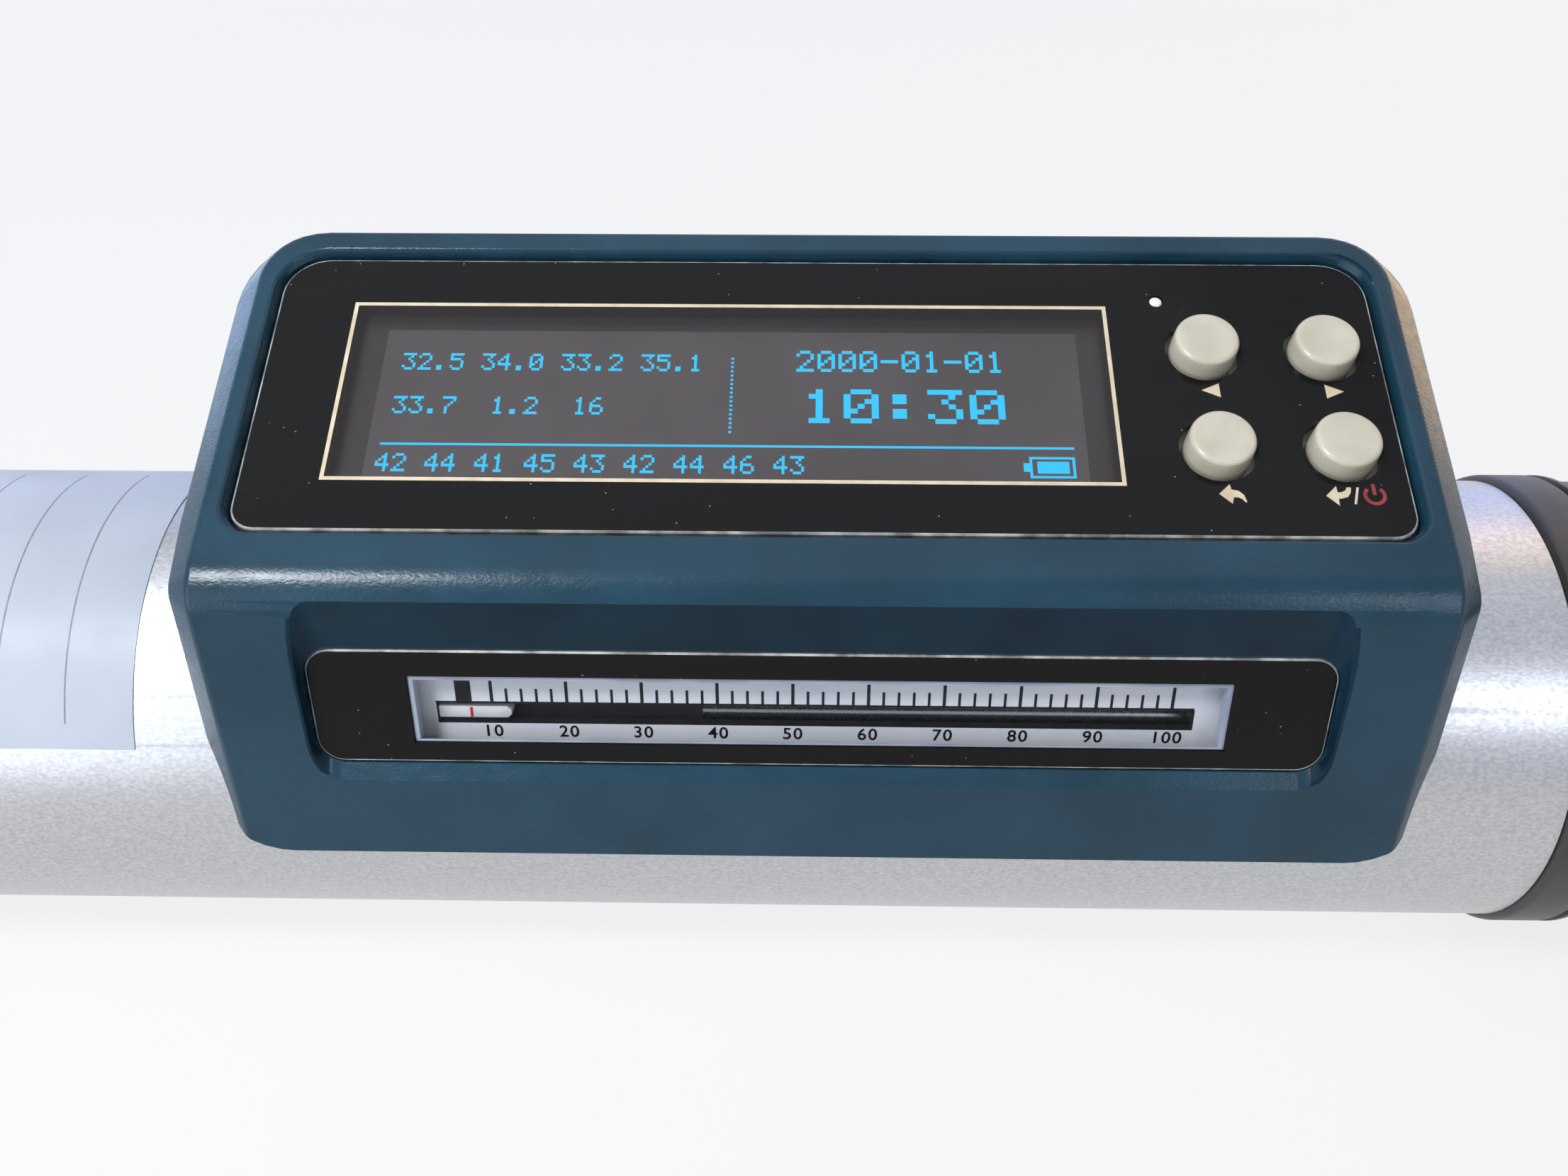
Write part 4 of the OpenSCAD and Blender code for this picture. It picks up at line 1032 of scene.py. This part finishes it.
# %% Keys
KEY_OUTLINE = [(-0.45, 0), (-0.43, 1.0), (-0.37, 1.9)] + arc(-0.8, 2.72, 0.5, 90, 6) + [
    (-1.6, 3.27), (-4.15, 3.3), (-4.15, 4.1), (-4.95, 4.1), (-4.95, 1.75), (-5.1, 1.75), (-5.1, 0)]
for node in KEY_NODES:
    cap = turned(node + "_cap", KEY_OUTLINE, 64, Z_AXIS)
    settle(cap, key_white, node, [node], face_frame(node, display_out), 40)

PIPE_OUTLINE = [(0, 0), (-0.04, 0.4), *arc(-0.35, 0.4, 0.3, 60, 0, 4), (-5.6, 0.7), (-5.6, 0)]
lamp_top = turned("status_light_pipe", PIPE_OUTLINE, 32, Z_AXIS)
settle(lamp_top, light_white, "barrel", ["status_light"], face_frame("status_light", display_out), 50)

# %% [markdown]
# ## Scale panel, bezel and pane
# The lower panel is cut from the same black acrylic. A grey moulded bezel lines its window, and a thin
# clear pane behind it keeps dust off the scale. The window's lower side is thinned from behind, so that
# the numbers can be read from above.

# %% Scale panel
SCALE_WINDOW_LOW = Vector((-40, -4.175, 0))
SCALE_WINDOW_HIGH = Vector((40, 3.525, 0))
BEZEL_W = 0.6
BEZEL_TOP = -0.25
BEZEL_FOOT = 0.22
REBATE = 1.4
REBATE_TOP = -0.45
deep = Vector((0, 0, 3))
scale_sheet = plate("scale_panel_sheet", (-scale_half, -SCALE_HALF_H, -PANEL_T),
                    (scale_half, SCALE_HALF_H, 0), 2.6, 2.6)
frosted_rim(scale_sheet)
cut(scale_sheet, box("scale_window", SCALE_WINDOW_LOW - deep, SCALE_WINDOW_HIGH + deep))
low_side = box("rebate", SCALE_WINDOW_LOW - Vector((0, REBATE, 3)), (SCALE_WINDOW_HIGH.x, 0, REBATE_TOP))
cut(scale_sheet, low_side)
settle(scale_sheet, panel_black, "barrel", ["scale_panel"], on_scale)

bezel = box("scale_bezel_ring", SCALE_WINDOW_LOW + hair - Vector((0, 0, PANEL_T)),
            SCALE_WINDOW_HIGH - hair + Vector((0, 0, BEZEL_TOP)))
inside = Vector((BEZEL_W, BEZEL_W, 0))
foot_inside = Vector((BEZEL_W, BEZEL_FOOT, 0))
cut(bezel, box("bezel_hole", SCALE_WINDOW_LOW + foot_inside - deep, SCALE_WINDOW_HIGH - inside + deep))
cut(bezel, box("foot_relief", SCALE_WINDOW_LOW + Vector((BEZEL_W, -1, -3)),
               (SCALE_WINDOW_HIGH.x - BEZEL_W, 0, REBATE_TOP)))


def edge_of_top(height):
    """Test for the edges round a flat top at a given height."""
    return lambda e: all(abs(p.z - height) < 0.001 for p in ends(e)) and e.calc_face_angle(0) > 1


bevel(bezel, edge_of_top(BEZEL_TOP), 0.12, 2)
settle(bezel, bezel_grey, "barrel", ["scale_bezel"], on_scale)

pane = box("scale_pane_sheet", SCALE_WINDOW_LOW - Vector((1, 1, 2.1)),
           SCALE_WINDOW_HIGH + Vector((1, 1, -PANEL_T - 0.01)))
bevel(pane, lambda e: all(p.z > -1.6 for p in ends(e)), 0.1)
settle(pane, clear_pane, "barrel", ["scale_pane"], on_scale)

# %% [markdown]
# ## Scale plate
# The plate is enamelled white, with a slot that the rider runs along. The slot's walls are painted
# black as shade. Ticks stand on the slot's upper edge, long at every ten and short at every two, and a
# broad mark at the start shows where the rider rests. The numbers are text made into a mesh.

# %% Scale plate and ticks
PLATE_TOP = -2.5
SLOT_LOW = Vector((-38.06, -3.345, 0))
SLOT_HIGH = Vector((37.24, -1.105, 0))
TICK_TOP = 1.575
UNIT = 0.75
ZERO = -40
white_plate = box("scale_plate_enamel", (-43, -SCALE_HALF_H, PLATE_TOP - 1), (43, SCALE_HALF_H, PLATE_TOP))
cut(white_plate, box("slot", SLOT_LOW - deep - deep, SLOT_HIGH + deep))
bevel(white_plate, edge_of_top(PLATE_TOP), 0.06)
white_plate.data.materials.append(scale_white)


def in_slot(face):
    """Whether a face is a wall of the slot, which is painted black as shade."""
    spot = face.calc_center_median()
    return (abs(face.normal.z) < 0.9 and SLOT_LOW.x - 0.1 < spot.x < SLOT_HIGH.x + 0.1
            and SLOT_LOW.y - 0.1 < spot.y < SLOT_HIGH.y + 0.1)


# The slot's walls get the black nylon finish as painted shade.
assign(white_plate, inner_black, in_slot)
settle(white_plate, scale_white, "barrel", ["scale_plate"], on_scale)

LINE_W = 0.24
LONG_TICK_W, SHORT_TICK_W = 0.33, 0.27
SHORT_TICK = 1.75
START_MARK = (-36.1, -34.5)
foot = SLOT_HIGH.y + 0.05
ticks = [tile((START_MARK[0], foot), (START_MARK[1], TICK_TOP)),
         tile((SLOT_LOW.x - 0.1, foot), (SLOT_HIGH.x, foot + LINE_W))]
for reading in range(10, 101, 2):
    x = ZERO + reading * UNIT
    long_one = reading % 10 == 0
    top = TICK_TOP if long_one else foot + SHORT_TICK
    half = (LONG_TICK_W if long_one else SHORT_TICK_W) / 2
    ticks.append(tile((x - half, foot), (x + half, top)))
on_plate = on_scale @ lift(PLATE_TOP)
settle(thicken(join("scale_ticks", ticks), INK), ink_dark, "barrel", (), on_plate)

# %% Scale numbers
NUMBER_H = 1.34
NUMBER_Y = -4.27
CAP_SHARE = 0.71
NUMBER_BOLD = 0.03
NUMBER_SPACE = 1.15
numbers = []
for reading in range(10, 101, 10):
    deselect()
    bpy.ops.object.text_add()
    number = bpy.context.object
    number.data.body = str(reading)
    number.data.align_x = "CENTER"
    number.data.size = NUMBER_H / CAP_SHARE
    number.data.offset = NUMBER_BOLD
    number.data.space_character = NUMBER_SPACE
    bpy.ops.object.convert(target="MESH")
    number = bpy.context.object
    middle = sum((Vector(corner) for corner in number.bound_box), Vector()) / 8
    number.location = (ZERO + reading * UNIT - middle.x, NUMBER_Y - middle.y, 0)
    bpy.ops.object.transform_apply()
    numbers.append(number)
settle(thicken(join("scale_numbers", numbers), INK), ink_dark, "barrel", (), on_plate)

# %% [markdown]
# ## Barrel
# The barrel is drawn tube with fine chamfers at its ends. It is spun from its wall's outline, and the
# slot of the rider, the seat of the scale and the seat of the lock button are cut into it.

# %% Barrel
joint_axis = {joint["name"]: Vector(joint["axis"]) for joint in frame["record"]["behaviour"]["joints"]}
button_out = -joint_axis["lock_button_press"]
BORE_R = 22.5
END_BREAK = 0.25
barrel = turned("barrel_tube_blasted", [
    (barrel_low.x, BORE_R), (barrel_low.x, barrel_r - END_BREAK), (barrel_low.x + END_BREAK, barrel_r),
    (barrel_high.x - END_BREAK, barrel_r), (barrel_high.x, barrel_r - END_BREAK), (barrel_high.x, BORE_R),
    (barrel_low.x, BORE_R)], 192)


def out_of_barrel(x, out):
    """Frame on the barrel's axis whose Z points out of the barrel."""
    place = Matrix((X_AXIS, out.cross(X_AXIS), out)).transposed().to_4x4()
    place.translation = (x, 0, 0)
    return place


on_button = out_of_barrel(face_frame("lock_button", button_out).translation.x, button_out)
FACE_MIDDLE = 172
on_rider = out_of_barrel(FACE_MIDDLE, -button_out)
SEATS = {  # name: the frame it lies in, its low and its high corner
    "rider_slot": (on_rider, (-39, -2.5, 17), (38.2, 2.5, 26)),
    "plate_seat": (on_scale, (-43.1, -6.53, -3.6), (43.1, 6.53, 2)),
    "panel_seat": (on_scale, (-49.9, -6.53, -1.6), (49.9, 6.53, 2)),
}
for name, (place, low, high) in SEATS.items():
    cut(barrel, box(name, low, high), place)
BUTTON_HOLE = [(18, 0), (18, 2.85), (24, 2.85), (24, 6.5), (29, 6.5), (29, 0)]
cut(barrel, turned("button_hole", BUTTON_HOLE, 48, Z_AXIS), on_button)
settle(barrel, barrel_metal, "barrel", ["barrel_tube"])

# %% [markdown]
# ## Rider
# The rider is a black carriage that runs on a rod inside the barrel, with a white pointer that shows in
# the scale's slot. A painted line across the pointer marks the reading. The neck between the two is
# trimmed where it meets the pointer.

# %% Rider
POINTER_LOW = Vector((-37.985, -2.875, -4.1))
POINTER_HIGH = Vector((-30.685, -1.575, -2.7))
CARRIAGE_HIGH = Vector((-11.7, 2, 22.2))
CARRIAGE_FOOT = 18.35
CARRIAGE_EDGE = 0.25
NECK_HALF = 0.9
ROD_HOLE_R = 1.25
ROD_HEIGHT = 20.8
carriage = box("rider_carriage", (POINTER_LOW.x, -CARRIAGE_HIGH.y, CARRIAGE_FOOT), CARRIAGE_HIGH)
bevel(carriage, lambda e: True, CARRIAGE_EDGE, 2)
neck = box("neck", (POINTER_LOW.x, -NECK_HALF, CARRIAGE_HIGH.z - 0.7), (POINTER_HIGH.x, NECK_HALF, 24.5))
cut(carriage, neck, None, "UNION")
rod_hole = turned("rod_hole", [(-50, 0), (-50, ROD_HOLE_R), (0, ROD_HOLE_R), (0, 0)], 32)
cut(carriage, rod_hole, lift(ROD_HEIGHT))
cut(carriage, box("trim", (-50, -8, POINTER_LOW.z), (0, 8, 3)), on_rider.inverted() @ on_scale)
settle(carriage, inner_black, "rider", (), on_rider)

POINTER_CORNER = 0.4
POINTER_EDGE = 0.08
pointer = box("rider_pointer", POINTER_LOW, POINTER_HIGH)
edit(pointer)
pick("edges", lambda e: all(p.x > POINTER_HIGH.x - 0.01 for p in ends(e)) and abs(ends(e)[0].z - ends(e)[1].z) > 1)
round_edges(POINTER_CORNER, 1)
pick("edges", lambda e: all(p.z > POINTER_HIGH.z - 0.01 for p in ends(e)))
round_edges(POINTER_EDGE, 2)
shut()
settle(pointer, rider_white, "rider", ["rider"], on_scale)

RED_LINE = (-34.84, -34.56)
rider_line = thicken(tile((RED_LINE[0], POINTER_LOW.y + POINTER_EDGE),
                          (RED_LINE[1], POINTER_HIGH.y - POINTER_EDGE)), INK)
rider_line.name = "rider_line"
settle(rider_line, line_red, "rider", (), on_scale @ lift(POINTER_HIGH.z))

# %% [markdown]
# A bare strip of satin film is stuck on the barrel beside the housing, with three plain rule lines. A
# short line spun round the barrel gives the strip, and the faces beyond its edges are deleted.

# %% Film on the barrel
FILM_SPAN = (63.4, 153.4)
RULE_SPAN = (70, 147)
RULE_W = 0.16
RULE_STEP = 7


def strip(name, x0, x1, radius, span, depth):
    """Part of a sleeve round the barrel, between two angles from +Y towards +Z."""
    def outside(face):
        spot = face.calc_center_median()
        return not span[0] < math.degrees(math.atan2(spot.z, spot.y)) < span[1]

    piece = turned(name, [(x0, radius), (x1, radius)], 180)
    edit(piece)
    pick("faces", outside)
    bpy.ops.mesh.delete(type="FACE")
    shut()
    return thicken(piece, depth)


film_low, film_high = mm_box("barrel_film")
film_strip = strip("barrel_film_strip", film_low.x, film_high.x, barrel_r + 0.06, FILM_SPAN, 0.1)
settle(film_strip, film_clear, "barrel", ["barrel_film"])
rules = []
for count in (1, 2, 3):
    x = film_low.x + RULE_STEP * count
    rules.append(strip("rule", x, x + RULE_W, barrel_r + 0.115, RULE_SPAN, 0.01))
settle(join("film_rules", rules), ink_grey, "barrel")

# %% [markdown]
# ## Caps and plunger
# These are lathe work: the front cap that guides the plunger, the plunger with its round tip, and the
# moulded rear cover with a groove for the fingers. Each is an outline spun round the barrel's axis.

# %% Front cap and plunger
CAP_OUTLINE = [
    (-8, 7.55), (-8, 22.2), *arc(-6.3, 22.8, 1.7, -60, 0), (5.8, 24.5), (6, 24.3), (6, 22.5), (12, 22.5),
    (12, 7.55), (-1, 7.55), (-1, 11), (-4, 11), (-4, 7.55), (-8, 7.55)]
settle(turned("front_cap_turned", CAP_OUTLINE, 128), cap_metal, "barrel", ["front_cap"])

TIP_X = -98
TIP_R = 25
tip = [(TIP_X + TIP_R - TIP_R * math.cos(math.radians(turn)), TIP_R * math.sin(math.radians(turn)))
       for turn in range(0, 17, 4)]
PLUNGER_OUTLINE = tip + [
    (-96.6, 7.35), (-96.3, 7.5), (-10, 7.5), (-9.8, 7.1), (-8.2, 7.1), (-8, 7.5), (12.35, 7.5), (12.35, 6.7),
    (14.35, 6.7), (14.35, 9.5), (19.6, 9.5), (20, 9.1), (20, 4), (-8, 4), (-8, 0)]
settle(turned("impact_plunger_ground", PLUNGER_OUTLINE), steel, "plunger", ["impact_plunger"])

# %% Rear cover
cover_low, cover_high = mm_box("rear_cover")
END = cover_high.x
RIM_X = END - 22.2
COVER_OUTLINE = [
    (cover_low.x, 19.5), (cover_low.x, 22.3), (cover_low.x + 0.2, 22.5), (RIM_X, 22.5), (RIM_X, 24.9),
    *arc(RIM_X + 0.8, 24.9, 0.8, -90, 0, 4), (RIM_X + 5.3, 25.7), (RIM_X + 5.5, 25.1), (RIM_X + 6.1, 25.1),
    (RIM_X + 6.3, 25.7), (RIM_X + 6.8, 25.7), (RIM_X + 7.5, 25.1), (RIM_X + 8.2, 25),
    *arc(END - 9, 16, 9, 0, 90, 10), (END, 10.4), (END - 0.4, 10), (END - 5, 10), (END - 5, 4), (END - 10, 4),
    (END - 10, 19.5), (cover_low.x, 19.5)]
settle(turned("rear_cover_moulded", COVER_OUTLINE, 160), cover_black, "barrel", ["rear_cover"])

# %% [markdown]
# ## Lock button, screws and socket
# On the far side sit the button that holds the plunger in, in a turned bush, two cross-head screws and
# the charging socket. The screw is turned once for each place, with its cross cut by two bars.

# %% Lock button and bush
BUSH_OUTLINE = [(24, 2.55), (24, 6.5), (26.6, 6.5), (27, 6.1), (27, 4.15), (25, 4.15), (25, 2.55), (24, 2.55)]
bush = turned("lock_bush_turned", BUSH_OUTLINE, 64, Z_AXIS)
settle(bush, cap_metal, "barrel", ["lock_bush"], on_button)
button_top = face_frame("lock_button", button_out).translation.dot(button_out)
BUTTON_OUTLINE = [
    (22.05, 0), (22.05, 2.5), (button_top - 2.4, 2.5), (button_top - 2.4, 4.3), (button_top - 2.2, 4.5),
    *arc(button_top - 0.6, 3.9, 0.6, 0, 80, 5), (button_top - 0.15, 0)]
button = turned("lock_button_cap", BUTTON_OUTLINE, 64, Z_AXIS)
settle(button, button_black, "lock_button", ["lock_button"], on_button)

# %% Screws at the back
SCREW_OUTLINE = [
    (-4.8, 0), (-4.8, SCREW_R), (-SCREW_HEAD_T, SCREW_R), (-SCREW_HEAD_T, SCREW_HEAD_R), (-0.9, SCREW_HEAD_R),
    *arc(-0.9, 1.9, 0.9, 0, 80, 5), (0, 0)]
BAR_LONG, BAR_WIDE, BAR_DEPTH = 1.6, 0.3, 0.8
screws = []
for side in (-1, 1):
    screw = turned("screw", SCREW_OUTLINE, 48, Z_AXIS)
    for long, wide in ((BAR_LONG, BAR_WIDE), (BAR_WIDE, BAR_LONG)):
        cut(screw, box("bar", (-long, -wide, -BAR_DEPTH), (long, wide, 1)))
    screw.location.x = side * SCREW_SPREAD
    screws.append(screw)
settle(join("back_screws", screws), button_black, "barrel", ["housing_screws"], on_back)

# %% Charging socket
SOCKET_SPOT = (8.35, 6.15, -9)
SOCKET_HIGH = Vector((3.9, 1.8, 12))
SOCKET_WALL = 0.5
SOCKET_HOLLOW = 8
SOCKET_R = 1.2
socket_place = on_display @ Matrix.Translation(SOCKET_SPOT) @ Matrix.Rotation(-math.pi / 2, 4, "X")
socket = plate("usb_socket_shell", (-SOCKET_HIGH.x, -SOCKET_HIGH.y, 0), SOCKET_HIGH, SOCKET_R, SOCKET_R)
edit(socket)
pick("faces", lambda f: f.normal.z > 0.9)
bpy.ops.mesh.inset(thickness=SOCKET_WALL)
bpy.ops.mesh.extrude_region_move(TRANSFORM_OT_translate={"value": (0, 0, -SOCKET_HOLLOW)})
shut()
tongue = box("tongue", (-2.4, -0.35, SOCKET_HIGH.z - SOCKET_HOLLOW - 0.1), (2.4, 0.35, SOCKET_HIGH.z - 1))
socket = join("usb_socket_shell", [socket, tongue])
settle(socket, steel, "barrel", ["usb_socket"], socket_place)

# %% [markdown]
# ## Springs
# Three springs inside get shorter when a joint moves. Each is a copy of its packed coil with its points
# merged, and it rides on one body.

# %% Springs
MERGE = 1e-6
TRAVELS = {  # spring: body and joint, the way to the end that rests on the body, travel in millimetres
    "return_spring": ("barrel", "plunger_slide", X_AXIS, 75),
    "lock_spring": ("barrel", "lock_button_press", -button_out, 3.3),
    "pawl_spring": ("plunger", "pawl_swing", -X_AXIS, 0.55),
}
for node, (body, joint, way, travel) in TRAVELS.items():
    coil = bpy.data.objects.new(node + "_coil", frame["nodes"][node].data.copy())
    bpy.context.scene.collection.objects.link(coil)
    edit(coil)
    select_all()
    bpy.ops.mesh.remove_doubles(threshold=MERGE)
    shut()
    bpy.ops.object.shade_smooth_by_angle(angle=math.radians(40))
    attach(coil, body)
    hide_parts(node)
    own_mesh(coil)

# %% [markdown]
# ## Floor and light
# The tool lies on a wide pale floor under soft lamps. A small key lamp streaks the ridge, a low one
# fills the left, a large one hangs overhead and a cool one stands behind like a window. Two low ones
# at the far corners tint the ends of the barrel, and two weak ones streak its right side. To the
# camera, in a gloss and through glass the floor and the world are mostly white, and the floor keeps a
# soft shadow of the tool.

# %% Floor
def seen_rays(tree):
    """One for rays that show the background itself: to the camera, in a gloss or through glass."""
    path = add(tree, "ShaderNodeLightPath").outputs
    seen = add(tree, "ShaderNodeMath", {0: path["Is Camera Ray"], 1: path["Is Glossy Ray"]}, operation="MAXIMUM")
    seen = add(tree, "ShaderNodeMath", {0: seen.outputs[0], 1: path["Is Transmission Ray"]}, operation="MAXIMUM")
    return seen.outputs[0]


FLOOR_SIZE = 6
WHITE_SHARE = 0.8
deselect()
bpy.ops.mesh.primitive_plane_add(size=FLOOR_SIZE, location=(0.17, 0, cad_box[0][2]))
floor = bpy.context.object
floor.name = "floor"
paper = finish("pale_paper", "#d8d8da", 0.9)
tree = paper.node_tree
share = add(tree, "ShaderNodeMath", {0: seen_rays(tree), 1: WHITE_SHARE}, operation="MULTIPLY")
glow = add(tree, "ShaderNodeEmission", {"Color": (1, 1, 1, 1), "Strength": 1})
blend = add(tree, "ShaderNodeMixShader", {0: share.outputs[0], 1: tree.nodes["Principled BSDF"].outputs[0],
                                          2: glow.outputs[0]})
tree.links.new(blend.outputs[0], tree.nodes["Material Output"].inputs["Surface"])
floor.data.materials.append(paper)

# %% Lamps
MIDDLE = Vector((0.17, 0, 0.02))
LAMPS = {  # name: place and size in metres, power in watts, colour
    "key_lamp": ((-0.009, -0.158, 0.304), 0.09, 1.0, "#f7fbff"),
    "left_lamp": ((-0.14, -0.28, 0.1), 0.3, 0.6, "#eaf3ff"),
    "top_lamp": ((0.12, 0.05, 0.9), 0.8, 1.3, "#eef4ff"),
    "sky_lamp": ((0.2, 0.75, 0.3), 1.0, 2.4, "#86a8ff"),
    "left_back_lamp": ((-0.3, 0.42, 0.1), 0.24, 0.45, "#b4d0ff"),
    "right_back_lamp": ((0.64, 0.42, 0.1), 0.24, 0.45, "#ffcf90"),
    "warm_lamp": ((0.5, 0.3, 0.42), 0.22, 0.2, "#ffd9ac"),
    "front_lamp": ((0.47, -0.37, 0.29), 0.16, 0.38, "#eef3ff"),
}
for name, (spot, size, power, color) in LAMPS.items():
    deselect()
    bpy.ops.object.light_add(type="AREA", location=spot)
    lamp = bpy.context.object
    lamp.name = name
    lamp.rotation_euler = (MIDDLE - lamp.location).to_track_quat("-Z", "Y").to_euler()
    lamp.data.size = size
    lamp.data.energy = power
    lamp.data.color = linear(color)[:3]
print("lamps:", len(LAMPS))

# %% World
world = bpy.data.worlds.new("studio")
bpy.context.scene.world = world
world.use_nodes = True
tree = world.node_tree
light = tree.nodes["Background"]
light.inputs["Color"].default_value = linear("#d3d8e2")
light.inputs["Strength"].default_value = 0.3
shown = add(tree, "ShaderNodeBackground", {"Color": linear("#eaf0fa"), "Strength": 0.85})
blend = add(tree, "ShaderNodeMixShader", {0: seen_rays(tree), 1: light.outputs[0], 2: shown.outputs[0]})
tree.links.new(blend.outputs[0], tree.nodes["World Output"].inputs["Surface"])
bpy.context.scene.view_settings.view_transform = "Standard"
